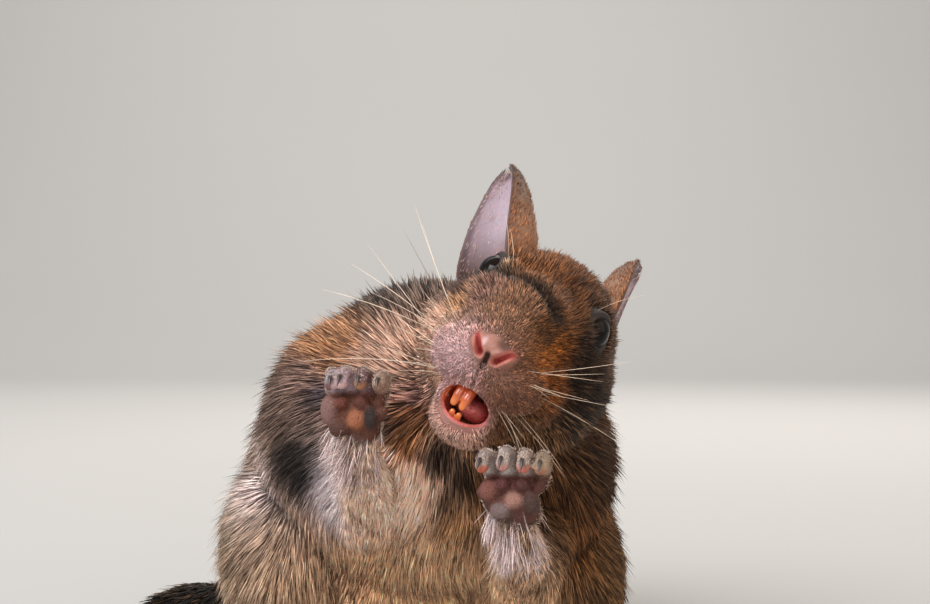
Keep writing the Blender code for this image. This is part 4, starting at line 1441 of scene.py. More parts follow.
@dataclass(frozen=True)
class EyeFinish:
    """A wet, near-black eye with a faint brown iris round its pupil."""

    fibre_scale: float = 2600.0
    pupil: Triple = (0.002, 0.002, 0.002)
    iris: Triple = (0.012, 0.006, 0.004)
    iris_dark: Triple = (0.006, 0.003, 0.002)
    white: Triple = (0.03, 0.018, 0.014)

    def make(self) -> Material:
        """The eye's material."""
        shade = Shade("degu_eye", IOR=1.24, Specular_IOR_Level=0.5)
        away = shade.attribute("Iris", "Fac")
        fibres = shade.noise(self.fibre_scale)
        brown = shade.mix(self.iris, self.iris_dark, fibres)
        tone = shade.mix(self.pupil, brown, shade.ramp(away, (0.32, 0.0), (0.45, 1.0)))
        tone = shade.mix(tone, self.white, shade.ramp(away, (0.86, 0.0), (0.98, 1.0)))
        return shade.dress(tone, 0.06 + 0.05 * fibres)


@dataclass(frozen=True)
class ToothFinish:
    """Orange enamel, paler where it is worn towards the edge."""

    streak_scale: float = 1500.0
    relief: float = 0.00005
    orange: Triple = display(196, 86, 30)
    stain: Triple = display(160, 58, 20)
    edge: Triple = display(216, 124, 58)

    def make(self) -> Material:
        """The incisors' material."""
        shade = Shade(
            "degu_enamel", Specular_IOR_Level=0.55, Coat_Weight=0.4, Coat_Roughness=0.15,
            Subsurface_Weight=0.08, Subsurface_Scale=0.001,
        )
        worn = shade.attribute("Worn", "Fac")
        streak = shade.noise(self.streak_scale, 4.0)
        tone = shade.mix(self.orange, self.stain, shade.ramp(streak, (0.35, 0.0), (0.7, 1.0)))
        tone = shade.mix(tone, self.edge, shade.ramp(worn, (0.7, 0.0), (1.0, 0.7)))
        return shade.dress(tone, 0.22 + 0.2 * streak, streak, self.relief, 0.6)


@dataclass(frozen=True)
class TongueFinish:
    """A wet tongue with small raised buds."""

    bud_scale: float = 1700.0
    blotch_scale: float = 500.0
    relief: float = 0.0002
    pink: Triple = display(214, 124, 118)
    red: Triple = display(188, 86, 84)

    def make(self) -> Material:
        """The tongue's material."""
        shade = Shade("degu_tongue", Specular_IOR_Level=0.5, Subsurface_Weight=0.25, Subsurface_Scale=0.0015)
        buds = shade.cells(self.bud_scale)
        tone = shade.mix(self.pink, self.red, shade.noise(self.blotch_scale))
        return shade.dress(tone, 0.24 + 0.24 * buds, 1.0 - buds, self.relief, 0.8)


@dataclass(frozen=True)
class ClawFinish:
    """Translucent dark horn, paler towards the tip."""

    grain_scale: float = 1800.0
    relief: float = 0.00005
    root: Triple = display(92, 62, 54)
    middle: Triple = display(44, 31, 29)
    tip: Triple = display(74, 58, 50)

    def make(self) -> Material:
        """The claws' material."""
        shade = Shade("degu_claw", Specular_IOR_Level=0.55, Coat_Weight=0.25, Coat_Roughness=0.2)
        along = shade.attribute("Along", "Fac")
        grain = shade.noise(self.grain_scale, 4.0)
        tone = shade.ramp(along, (0.0, self.root), (0.3, self.middle), (1.0, self.tip))
        return shade.dress(tone * (0.75 + 0.5 * grain), 0.28 + 0.2 * grain, grain, self.relief, 0.5)


@dataclass(frozen=True)
class EarFinish:
    """Thin ear skin: lilac grey within with painted shade low in the cup, browner behind, darker at the rim,
    with fine vessels.
    """

    blotch_scale: float = 300.0
    vessel_scale: float = 260.0
    grain_scale: float = 1500.0
    relief: float = 0.00012
    # Painted shade low in the hollow of the inner ear.
    inside_low_shade: Triple = display(96, 70, 62)
    inside_high: Triple = display(178, 160, 170)
    vessels: Triple = display(164, 112, 108)
    behind_low: Triple = display(150, 112, 88)
    behind_high: Triple = display(74, 60, 56)
    edge: Triple = display(70, 54, 52)

    def make(self) -> Material:
        """The ears' material."""
        shade = Shade(
            "degu_ear", Subsurface_Weight=0.3, Subsurface_Scale=0.0018, Specular_IOR_Level=0.35,
            Subsurface_Radius=(1.0, 0.4, 0.3),
        )
        inside, rim, up = (shade.attribute(name, "Fac") for name in ("Inside", "Rim", "Up"))
        blotch = shade.noise(self.blotch_scale, 4.0)
        vessel = shade.ramp(shade.cells(self.vessel_scale, "DISTANCE_TO_EDGE"), (0.0, 1.0), (0.05, 0.0))
        inner = shade.mix(self.inside_low_shade, self.inside_high, shade.ramp(up, (0.18, 0.0), (0.54, 1.0)))
        inner = shade.mix(inner, self.vessels, vessel * 0.22)
        outer = shade.mix(self.behind_low, self.behind_high, shade.ramp(up, (0.3, 0.0), (0.85, 1.0)))
        tone = shade.mix(outer, inner, shade.ramp(inside, (0.42, 0.0), (0.58, 1.0)))
        tone = shade.mix(tone, self.edge, shade.ramp(rim, (0.86, 0.0), (0.98, 0.75)))
        tone, rough = tone * (0.82 + 0.36 * blotch), 0.5 + 0.2 * blotch
        return shade.dress(tone, rough, shade.noise(self.grain_scale) + vessel * 0.3, self.relief, 0.6)


@dataclass(frozen=True)
class StudioFinish:
    """The plain pale matt floor."""

    cloud_scale: float = 3.0
    dull: Triple = (0.47, 0.46, 0.445)
    pale: Triple = (0.49, 0.48, 0.465)

    def make(self) -> Material:
        """The floor's material."""
        shade = Shade("studio_floor", Specular_IOR_Level=0.1)
        cloud = shade.noise(self.cloud_scale, 2.0)
        return shade.dress(shade.mix(self.dull, self.pale, cloud), 0.8 + 0.1 * cloud)


# Hair


STRAND_ROWS = ("roots", "normals", "start", "end", "length", "width", "coat", "tip", "uv")


@dataclass(frozen=True)
class Spindle:
    """The pattern of one tuft: a slim closed spindle, repeated for every root."""

    rings: int = 1
    sides: int = 3

    def pattern(self) -> tuple[Array, Array]:
        """The pattern's points, across, through and along from 0 to 1, and its triangles."""
        bm = bmesh.new()
        bmesh.ops.create_uvsphere(bm, u_segments=self.sides, v_segments=self.rings + 1, radius=1.0)
        bmesh.ops.triangulate(bm, faces=bm.faces)
        bm.verts.ensure_lookup_table()
        points = np.array([v.co for v in bm.verts])
        faces = np.array([[v.index for v in f.verts] for f in bm.faces])
        bm.free()
        points[:, 2] = (points[:, 2] + 1) / 2
        return points, faces


@dataclass
class Strands:
    """Many hairs or tufts at once, one row each."""

    roots: Array
    normals: Array
    start: Array
    end: Array
    length: Array
    width: Array
    coat: Array
    tip: Array
    uv: Array
    flatness: float = 0.6
    sunk: float = 0.25

    def pick(self, chosen: Array) -> "Strands":
        """The strands of the rows that are chosen."""
        return Strands(*(getattr(self, name)[chosen] for name in STRAND_ROWS), self.flatness, self.sunk)

    @staticmethod
    def join(parts: Sequence["Strands"]) -> "Strands":
        """Puts several sets of strands into one."""
        rows = [np.concatenate([getattr(part, name) for part in parts]) for name in STRAND_ROWS]
        return Strands(*rows, parts[0].flatness, parts[0].sunk)

    def weave(self, name: str, spindle: Spindle, finish: Material) -> Thing:
        """Makes one mesh of every strand.

        Args:
            name: The object's name.
            spindle: The pattern of one strand.
            finish: Its material.

        Returns:
            The finished object.
        """
        pattern, faces = spindle.pattern()
        count, corners = len(self.roots), len(pattern)
        root = self.roots - self.normals * (self.sunk * np.minimum(1.0, (self.length / 5.0) ** 1.5))[:, None]
        middle = root + self.start * (self.length * 0.5)[:, None]
        tip = middle + self.end * (self.length * 0.5)[:, None]
        t = pattern[:, 2][None, :, None]
        line = (1 - t) ** 2 * root[:, None] + 2 * t * (1 - t) * middle[:, None] + t * t * tip[:, None]
        ahead = unit(tip - root)
        across = unit(np.cross(self.normals, ahead))
        through = np.cross(ahead, across)
        taper = (1.3 - 0.7 * pattern[:, 2]) * 0.5
        half = self.width[:, None] * taper
        points = line + across[:, None] * (half * pattern[:, 0])[:, :, None]
        points += through[:, None] * (half * pattern[:, 1] * self.flatness)[:, :, None]
        points = points.reshape(-1, 3)
        points[:, 2] = np.maximum(points[:, 2], 0.03 + 0.02 * np.tile(pattern[:, 1] + 1, count))
        every = (faces[None] + (np.arange(count) * corners)[:, None, None]).reshape(-1, 3)
        turn = np.arctan2(pattern[:, 1], pattern[:, 0]) / (2 * math.pi)
        spot = np.stack([pattern[:, 2] - 0.5, turn], 1) * TUFT_PATCH
        uv = (self.uv[:, None] + spot[None]).reshape(-1, 2)[every]
        mesh = fill_mesh(name, points, every, np.clip(uv, 0.0, 1.0))
        add_colour(mesh, "Coat", np.repeat(self.coat, corners, axis=0))
        add_colour(mesh, "Tip", np.repeat(self.tip, corners, axis=0))
        add_number(mesh, "Along", np.tile(pattern[:, 2], count))
        mesh.materials.append(finish)
        return link(name, mesh)


class Lie:
    """The way the hair lies at each point of the skin."""

    def __init__(self, skin: Skin) -> None:
        """Works out the lie over the whole skin."""
        points, normals = skin.surface.points, skin.normals
        flow = self.head_flow(skin) + self.trunk_flow(skin)
        for paw in skin.body.paws:
            shoulder, elbow, wrist = (np.array(p) for p in (paw.shoulder, paw.elbow, paw.wrist()))
            mine = (gap(points, elbow) < 42) & ((points[:, 0] > 3) == (paw.side > 0))
            upper, lower, hand = (
                (skin.share(form) * mine)[:, None] for form in (Form.UPPER_ARM, Form.FOREARM, Form.HAND)
            )
            flow += unit(elbow - shoulder) * upper + np.array((-0.1, 0.85, -0.75)) * lower
            flow += unit(wrist - elbow) * hand
        flow += np.array((0.0, -1.0, 0.0)) * skin.share(Form.FOOT)[:, None]
        flow += self.tail_flow(skin)
        flow = skin.surface.spread(flow, 14)
        swirl = np.stack([soft_noise(points, 9.0, seed) for seed in (21, 22, 23)], 1) * 0.2
        flow = flow + swirl * (1 - 0.6 * skin.share(Form.HEAD) - 0.8 * skin.share(Form.FOREARM))[:, None]
        self.flow = unit(flow - normals * (flow * normals).sum(1, keepdims=True))

    @staticmethod
    def head_flow(skin: Skin) -> Array:
        """Hair that runs back from the nose."""
        head = to_head(skin.surface.points)
        back = unit(head - np.array((0.0, -4.0, -1.5))) + np.array((0.0, 0.55, 0.0))
        back[:, 2] -= 0.25 * ease(-4.0, -10.0, head[:, 2])
        return unit(back) @ HEAD_TURN.T * skin.share(Form.HEAD)[:, None]

    @staticmethod
    def trunk_flow(skin: Skin) -> Array:
        """Hair that runs away from the head and down the sides."""
        points, normals = skin.surface.points, skin.normals
        away = unit(points - np.array(NOSE_TIP))
        upness, sides = np.clip(normals[:, 2], 0, 1), np.abs(normals[:, 0])
        down = np.stack([0.25 * normals[:, 0], 0.9 * upness + 0.4 * sides, -(0.28 + 0.75 * (1 - upness))], 1)
        near = bell(gap(points, NOSE_TIP), 62.0, 4)[:, None]
        trunk = unit(away * near * 1.4 + unit(down) * (1.15 - near))
        return trunk * skin.share(Form.NECK, Form.TRUNK, Form.HAUNCH)[:, None]

    @staticmethod
    def tail_flow(skin: Skin, runs: int = 40) -> Array:
        """Hair that runs along the tail."""
        stops = [skin.body.tail.point(index / runs) for index in range(runs + 1)]
        _, along = near_path(skin.surface.points, stops)
        index = np.clip((along * runs).astype(int), 0, runs - 1)
        return unit(np.diff(np.array(stops), axis=0))[index] * skin.share(Form.TAIL)[:, None]


@dataclass(frozen=True)
class Pelt:
    """The coat of one form: its length, width and spacing, and how far it lifts from the skin."""

    length: float
    width: float
    density: float
    lift: float


PELTS = {
    Form.HEAD: Pelt(3.5, 0.23, 11.0, 20),
    Form.NECK: Pelt(5.8, 0.28, 7.5, 19),
    Form.TRUNK: Pelt(7.0, 0.31, 5.8, 16),
    Form.HAUNCH: Pelt(6.4, 0.31, 5.2, 16),
    Form.FOOT: Pelt(1.7, 0.18, 7.0, 12),
    Form.UPPER_ARM: Pelt(5.0, 0.29, 7.5, 18),
    Form.FOREARM: Pelt(3.2, 0.22, 9.0, 17),
    Form.HAND: Pelt(1.0, 0.13, 11.0, 20),
    Form.TAIL: Pelt(2.8, 0.22, 7.0, 16),
}


class Patch(Enum):
    """The pieces that the coat is made in."""

    FACE = "coat_face"
    CROWN = "coat_crown"
    NECK = "coat_neck"
    BREAST = "coat_breast"
    BELLY = "coat_belly"
    BACK_RIGHT = "coat_back_right"
    BACK_LEFT = "coat_back_left"
    RUMP_RIGHT = "coat_rump_right"
    RUMP_LEFT = "coat_rump_left"
    HAUNCHES = "coat_haunches"
    ARMS = "coat_arms"
    TAIL = "coat_tail"


@dataclass
class Coat:
    """The short coat: tufts over the whole skin but the bare places."""

    skin: Skin
    finish: Material
    share: float = 1.0
    clump: float = 2.1
    gather: float = 0.34
    guard_share: float = 0.09
    guard_length: float = 1.28
    root_bend: float = 1.45
    tip_bend: float = 0.55

    def build(self) -> list[Thing]:
        """Grows the tufts and makes one object of each patch."""
        self.rng = np.random.default_rng(RNG_SEED)
        strands, patch = self.grow()
        made = []
        for index, kind in enumerate(Patch):
            chosen = np.nonzero(patch == index)[0]
            if len(chosen):
                piece = strands.pick(chosen).weave(kind.value, Spindle(), self.finish)
                LOG.info("%s: %d tufts, %d triangles", kind.value, len(chosen), len(piece.data.polygons))
                made.append(piece)
        return made

    def thickness(self) -> Array:
        """How much of the full coat grows at each point of the skin, from 0 where it is bare."""
        skin, form = self.skin, self.skin.body.head
        points, normals, head = skin.surface.points, skin.normals, to_head(skin.surface.points)
        bare = ease(1.15, 0.85, gap(head, (0.0, 0.6, -0.2), (4.5, 3.2, 2.5)))
        bare = np.maximum(bare, ease(1.12, 1.0, form.mouth_view(head)) * (head[:, 1] < 16))
        for side in SIDES:
            local, slit = form.eye_view(head, side)
            near = (local[:, 2] > 0) & (np.linalg.norm(local, axis=1) < form.eye_radius + 2.5)
            bare = np.maximum(bare, ease(1.7, 1.35, slit) * near)
        bare = bare * (skin.share(Form.HEAD) > 0.35)
        for paw in skin.body.paws:
            local, mine = paw.view(points, skin.forms)
            top = ease(-0.1, 0.5, normals[:, 2]) * ease(0.4, 1.6, local[:, 2]) * ease(-3.2, -2.4, local[:, 1])
            bare = np.maximum(bare, ease(0.25, 0.5, mine) * ease(1.6, 0.6, local[:, 1]) * (1 - top))
        soles = skin.share(Form.FOOT) * ease(0.9, 0.3, points[:, 2])
        return (1 - bare) * (1 - np.clip(soles, 0, 1))

    def pelt(self) -> Array:
        """The coat's length, width, density and lift at each point of the skin, one column each."""
        skin, points = self.skin, self.skin.surface.points
        values = skin.forms @ np.array([[p.length, p.width, p.density, p.lift] for p in map(PELTS.get, Form)])
        length, width, density, _ = values.T
        head, on_head = to_head(points), skin.share(Form.HEAD)
        back = ease(2.0, 24.0, head[:, 1])
        length *= 1 - on_head * (1 - (0.27 + 0.73 * back))
        width *= 1 - on_head * (1 - (0.56 + 0.44 * back))
        density *= 1 + on_head * 0.9 * (1 - back)
        length *= 1 - on_head * 0.5 * bell(near_path(head, CREASE)[0], 2.2)
        rear = ease(-45.0, -5.0, points[:, 1])
        width *= 0.92 + 0.3 * rear
        density *= 1.15 - 0.4 * rear
        pads = np.minimum(*(gap(head, (5.2 * side, 4.6, -4.4), (5.8, 6.2, 5.0)) for side in SIDES))
        thinner = 1 - on_head * 0.2 * ease(1.1, 0.7, pads)
        density *= thinner
        length *= thinner
        length += 2.0 * bell(gap(points, FLANK), 16.0)
        length += 2.4 * bell(gap(head, RUFF), 8.0)
        return skin.surface.spread(values, 6)

    def scatter(self, density: Array) -> tuple[Array, Array]:
        """Draws the places of the roots, evenly over the skin.

        Args:
            density: How many tufts grow on each triangle.

        Returns:
            The triangle of each root, and the share of each corner in its place.
        """
        surface, rng = self.skin.surface, self.rng
        order = np.lexsort(np.floor(surface.points[surface.faces].mean(1) / 1.5).T)
        total = np.cumsum(density[order])
        count = int(total[-1])
        place = (np.arange(count) + rng.random(count)) / count * total[-1]
        face = order[np.minimum(np.searchsorted(total, place), len(order) - 1)]
        a, b = np.sqrt(rng.random(count)), rng.random(count)
        return face, np.stack([1 - a, a * (1 - b), a * b], 1)[:, :, None]

    def grow(self) -> tuple[Strands, Array]:
        """Sets the roots and shapes every tuft.

        Returns:
            The strands and the patch that each belongs to.
        """
        skin, rng, surface = self.skin, self.rng, self.skin.surface
        values, hairy = self.pelt(), surface.spread(self.thickness(), 1)
        hairy = np.where(hairy < 0.12, 0.0, hairy)
        fields = np.concatenate([values, hairy, Lie(skin).flow, skin.normals, skin.forms], axis=1)
        area = np.linalg.norm(surface.face_vectors(), axis=1) / 2
        density = area * values[surface.faces, 2].mean(1) * hairy[surface.faces, 0].mean(1) * self.share
        face, bary = self.scatter(density)
        count = len(face)
        roots = (surface.points[surface.faces[face]] * bary).sum(1)
        here = (fields[surface.faces[face]] * bary).sum(1)
        uv = (skin.uv[face] * bary).sum(1)
        length, width, lift, thick = here[:, 0], here[:, 1], np.radians(here[:, 3]), here[:, 4]
        normals, kind = unit(here[:, 8:11]), here[:, 11:]
        lie = unit(here[:, 5:8] + rng.normal(scale=0.11, size=(count, 3)))
        lie = unit(lie - normals * (lie * normals).sum(1, keepdims=True))
        length = length * rng.uniform(0.72, 1.18, count) * (0.6 + 0.4 * thick)
        guard = rng.random(count) < self.guard_share
        length = np.where(guard, length * self.guard_length, length)
        width = width * rng.uniform(0.8, 1.2, count) * np.where(guard, 0.75, 1.0)
        lift = lift * rng.uniform(0.75, 1.3, count) + np.where(guard, 0.12, 0.0)
        start, end = (
            lie * np.cos(lift * bend)[:, None] + normals * np.sin(lift * bend)[:, None]
            for bend in (self.root_bend, self.tip_bend)
        )
        end, shade = self.gathered(roots, start, end, length, kind[:, Form.HEAD.value])
        coat, tip = self.colours(roots, roots + (start + end) * (0.3 * length)[:, None], kind, shade)
        strands = Strands(roots, normals, start, end, length, width, coat, tip, uv)
        return strands, self.patches(roots, kind)

    def gathered(
        self, roots: Array, start: Array, end: Array, length: Array, face: Array
    ) -> tuple[Array, Array]:
        """Draws the tips of neighbouring tufts together into small clumps.

        Args:
            roots: Where the tufts grow.
            start: The way each leaves the skin.
            end: The way each ends.
            length: Their lengths.
            face: How far each is on the head, where clumps are smaller.

        Returns:
            The new end directions, and a shade for each tuft from its clump.
        """
        chance = np.where(face > 0.5, 0.085, 0.075)
        seeds = np.nonzero(self.rng.random(len(roots)) < chance)[0]
        tree = KDTree(len(seeds))
        for index, seed in enumerate(seeds):
            tree.insert(roots[seed], index)
        tree.balance()
        near = np.array([tree.find(root)[1] for root in roots])
        lead = seeds[near]
        tips = roots + (start + end) * (length / 2)[:, None]
        away = gap(roots - roots[lead], (0, 0, 0))
        pull = self.gather * np.clip(1.6 - away / self.clump, 0.15, 1.0)
        moved = tips + (tips[lead] - tips) * pull[:, None]
        end = unit((moved - roots) * (2 / length)[:, None] - start)
        return end, self.rng.normal(0.0, 1.0, len(seeds))[near]

    def colours(self, roots: Array, seen: Array, kind: Array, shade: Array) -> tuple[Array, Array]:
        """The colour of each tuft's length and of its tip.

        Args:
            roots: Where the tufts grow.
            seen: The part of each tuft that shows, whose place sets its colour.
            kind: The share of each form there.
            shade: The shade of each tuft's clump.

        Returns:
            The two colours.
        """
        base = Markings(self.skin.body, seen, kind).hair()
        uneven = 0.2 * shade + 0.12 * soft_noise(roots, 4.5, 8) + self.rng.normal(0, 0.17, len(roots))
        base = base * np.exp(uneven)[:, None]
        draw = self.rng.random(len(roots))
        furry = 1 - np.clip(share_of(kind, Form.HAND, Form.FOOT), 0, 1) > 0.5
        off_head, head = 1 - share_of(kind, Form.HEAD), to_head(roots)
        silver = bell(gap(roots, SILVER), 15.0, 4) * off_head
        streaky = ease(14.0, 24.0, roots[:, 0]) * off_head
        calm, ruff = bell(gap(head, MUZZLE), 9.5, 4), bell(gap(head, RUFF), 8.0, 4)
        pale = ease(0.22, 0.5, base.mean(axis=1))
        dark = (draw < (0.28 + 0.2 * silver - 0.2 * calm + 0.14 * streaky) * (1 - 0.8 * pale)) & furry
        cream = (draw > 0.82 - 0.1 * silver - 0.12 * ruff) & furry
        coat = np.where(dark[:, None], base * np.array((0.32, 0.29, 0.28)), base)
        bright = base * 1.5 + np.array((0.03, 0.022, 0.013))
        bright = bright + silver[:, None] * np.array((0.09, 0.085, 0.085))
        bright = bright + ruff[:, None] * np.array((0.2, 0.12, 0.06))
        coat = np.where(cream[:, None], bright, coat)
        low, high = coat * (0.42 + 0.45 * pale)[:, None], coat * 1.4 + np.array((0.008, 0.006, 0.003))
        tip = np.where((draw < 0.5)[:, None], low, high)
        return np.clip(coat, 0.003, 0.95), np.clip(tip, 0.003, 0.95)

    @staticmethod
    def patches(roots: Array, kind: Array) -> Array:
        """The patch that each tuft belongs to, as its place in Patch."""
        order = {patch: index for index, patch in enumerate(Patch)}
        form = np.array(list(Form))[np.argmax(kind, axis=1)]
        found = np.full(len(roots), order[Patch.BREAST])
        trunk = form == Form.TRUNK
        rear, low, left = roots[:, 1] > -38, roots[:, 2] < 42, roots[:, 0] > 0
        found[trunk & ~rear & low] = order[Patch.BELLY]
        found[trunk & rear & ~low] = order[Patch.BACK_RIGHT]
        found[trunk & rear & ~low & left] = order[Patch.BACK_LEFT]
        found[trunk & rear & low] = order[Patch.RUMP_RIGHT]
        found[trunk & rear & low & left] = order[Patch.RUMP_LEFT]
        found[form == Form.NECK] = order[Patch.NECK]
        found[form == Form.HEAD] = order[Patch.FACE]
        found[(form == Form.HEAD) & (to_head(roots)[:, 1] > 19)] = order[Patch.CROWN]
        found[form == Form.HAUNCH] = order[Patch.HAUNCHES]
        for limb in (Form.FOOT, Form.UPPER_ARM, Form.FOREARM, Form.HAND):
            found[form == limb] = order[Patch.ARMS]
        found[form == Form.TAIL] = order[Patch.TAIL]
        return found


@dataclass(frozen=True)
class Fringe:
    """The hair that hangs from one wrist: how much, how it leans and its two display colours."""

    count: int
    lean: float
    pale: Triple
    grey: Triple


FRINGES = {
    1: Fringe(900, 0.12, (206, 198, 206), (150, 134, 132)),
    -1: Fringe(620, -0.15, (206, 196, 202), (132, 114, 108)),
}


@dataclass
class LooseHair:
    """Hair that is longer than the coat: at the wrists and the tail's brush, and the whiskers."""

    skin: Skin
    finish: Material

    def __post_init__(self) -> None:
        """Readies the random draw and the search for places on the skin."""
        self.rng = np.random.default_rng(RNG_SEED + 1)
        surface = self.skin.surface
        self.finder = BVHTree.FromPolygons(surface.points.tolist(), surface.faces.tolist())

    def either(self, count: int, share: float, first: Triple, second: Triple) -> Array:
        """One of two display colours for each strand, of which share take the first."""
        return np.where((self.rng.random(count) < share)[:, None], display(*first), display(*second))

    def strands(
        self, roots: Array, start: Array, end: Array, length: Array, width: Array, tone: Array, vary: float
    ) -> Strands:
        """Strands that grow from the skin.

        Args:
            roots: Places near the skin.
            start: The way each leaves the skin.
            end: The way each ends.
            length: Their lengths.
            width: Their widths.
            tone: Their colours.
            vary: How much their shades differ.

        Returns:
            The strands.
        """
        hits = [self.finder.find_nearest(Vector(p)) for p in roots]
        found, normals = (np.array([hit[index] for hit in hits]) for index in (0, 1))
        uv = self.skin.uv[[hit[2] for hit in hits]].mean(axis=1)
        coat = tone * np.exp(self.rng.normal(0, vary, len(roots)))[:, None]
        coat, tip = np.clip(coat, 0.002, 0.95), np.clip(coat * 1.1, 0.002, 0.95)
        return Strands(found, normals, unit(start), unit(end), length, width, coat, tip, uv)

    def whiskers(self) -> Thing:
        """The long stiff whiskers of both pads, and the short ones over the eyes."""
        rows = []
        for side, longer in ((1, 0.8), (-1, 1.4)):
            for x, z in FOLLICLES:
                for twin in range(2):
                    reach = 8 + 2.3 * (x - 2.6) + 1.8 * self.rng.normal() + (0 if twin else 5)
                    root = ((x + 0.5 * twin) * side, 3.0 + 0.9 * abs(x - 3), z + 0.4 * twin)
                    rise = 0.14 * (z + 4.6) + 0.16 * self.rng.normal()
                    start = (0.8 * side, 0.05 + 0.06 * x, rise)
                    end = (0.8 * side, 0.62 + 0.14 * self.rng.normal(), rise * 1.4 - 0.12)
                    rows.append((*(HEAD @ Vector(root)), *start, *end, max(6.0, reach * longer)))
            for step in range(2):
                root, start = ((7.5 + step) * side, 20.0 + step, 14.0), (0.5 * side, 0.1 + 0.1 * step, 0.85)
                rows.append((*(HEAD @ Vector(root)), *start, 0.75 * side, 0.6, 0.6, 8.0 + 2.0 * step))
        table = np.array(rows)
        length = table[:, 9]
        tone = self.either(len(table), 0.3, (96, 82, 72), (214, 202, 188))
        start, end = table[:, 3:6] @ HEAD_TURN.T, table[:, 6:9] @ HEAD_TURN.T
        hair = self.strands(table[:, :3], start, end, length, 0.045 + 0.002 * length, tone, 0.1)
        hair.flatness = 1.0
        return hair.weave("whiskers", Spindle(10, 5), self.finish)

    def wrists(self) -> Thing:
        """The silky hair that hangs from each wrist."""
        rng, parts = self.rng, []
        for paw in self.skin.body.paws:
            fringe, place = FRINGES[paw.side], np.array(paw.frame())
            count = fringe.count
            angle, lower = rng.normal(-1.1, 1.0, count), rng.uniform(-3.0, 7.0, count)
            local = np.stack([4.2 * np.sin(angle), 3.2 + 3.4 * np.cos(angle), -8.0 - lower], 1)
            roots = local @ place[:3, :3].T + place[:3, 3]
            outward = unit(np.stack([np.sin(angle), 0.55 * np.cos(angle) - 0.2, np.zeros(count)], 1))
            lean = np.array((fringe.lean, -0.1, -1.0))
            start = outward * 0.6 + lean + rng.normal(0, 0.24, (count, 3))
            end = outward * 0.1 + lean + rng.normal(0, 0.26, (count, 3))
            tone = self.either(count, 0.62, fringe.pale, fringe.grey)
            length, width = rng.uniform(3.2, 8.0, count), rng.uniform(0.09, 0.17, count)
            parts.append(self.strands(roots, start, end, length, width, tone, 0.24))
        return Strands.join(parts).weave("wrist_hair", Spindle(2), self.finish)

    def brush(self, count: int = 2600) -> Thing:
        """The black brush at the tail's end, in long overlapping locks."""
        rng, (base, ahead) = self.rng, self.skin.body.tail.brush()
        ahead = np.array(ahead)
        run = rng.random(count) ** 0.9
        angle = rng.uniform(0, 2 * math.pi, count)
        out = np.outer(np.cos(angle), (0, 0, 1)) + np.outer(np.sin(angle), np.cross((0, 0, 1), ahead))
        roots = np.array(base) + np.outer(run * 17, ahead) + out * 2.6
        splay = np.radians(rng.uniform(10, 27, count))[:, None]
        start = ahead * np.cos(splay) + out * np.sin(splay)
        end = ahead + out * 0.03 + rng.normal(0, 0.05, (count, 3))
        length = 34 * (0.36 + 0.2 * run) * rng.uniform(0.75, 1.05, count)
        tone = self.either(count, 0.2, (84, 62, 44), (30, 25, 22))
        hair = self.strands(roots, start, end, length, rng.uniform(0.3, 0.52, count), tone, 0.2)
        return hair.weave("tail_brush", Spindle(3), self.finish)


# Eyes, ears, teeth, tongue and claws


def finish_piece(bm: bmesh.types.BMesh, name: str, material: Material, **numbers: Array) -> Thing:
    """Makes a finished piece of a bmesh that is in millimetres, in the layout.

    Args:
        bm: The bmesh, which is freed.
        name: The piece's name.
        material: Its finish.
        numbers: Named values for each point that its finish reads.

    Returns:
        The piece.
    """
    bmesh.ops.recalc_face_normals(bm, faces=bm.faces)
    bmesh.ops.translate(bm, vec=LAYOUT_SHIFT, verts=bm.verts)
    bmesh.ops.scale(bm, vec=(MM, MM, MM), verts=bm.verts)
    made = show(bm, name)
    for key, values in numbers.items():
        add_number(made.data, key, values)
    made.data.shade_smooth()
    made.data.materials.append(material)
    return made


@dataclass
class Eye:
    """One eyeball with a slightly raised cornea."""

    head: HeadForm
    side: int
    material: Material
    cornea_rise: float = 0.045
    cornea_reach: float = 0.75

    def build(self) -> Thing:
        """Makes the eyeball."""
        eye, _ = self.head.eye(self.side)
        bm = bmesh.new()
        bmesh.ops.create_uvsphere(bm, u_segments=56, v_segments=36, radius=self.head.eye_radius)
        iris = []
        for vert in bm.verts:
            away = math.hypot(vert.co.x, vert.co.y) / self.head.eye_radius
            front = vert.co.z > 0
            iris.append(away if front else 1.0)
            if front:
                vert.co *= 1 + self.cornea_rise * max(0.0, 1 - (away / self.cornea_reach) ** 2) ** 1.5
        place = HEAD @ Matrix.Translation(eye) @ self.head.eye_turn(self.side)
        bmesh.ops.transform(bm, matrix=place, verts=bm.verts)
        name = "eyeball_left" if self.side > 0 else "eyeball_right"
        made = finish_piece(bm, name, self.material, Iris=np.array(iris))
        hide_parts("eye_left" if self.side > 0 else "eye_right")
        return made


@dataclass(frozen=True)
class EarCut:
    """The cut of one ear: where its tip is, the way it opens, its width, curl and outline."""

    tip: Triple
    opens: Triple
    width: float
    forward: float
    roll: float
    flare: tuple[float, float]
    point: float


EARS = {
    1: EarCut((10.0, 56.0, 21.5), (0.95, -0.30, 0.0), 18.5, 0.3, 78.0, (0.92, 1.34), 0.62),
    -1: EarCut((-23.2, 46.2, 25.7), (-0.954, -0.300, 0.227), 24.0, 0.485, 104.0, (1.42, 1.0), 0.47),
}


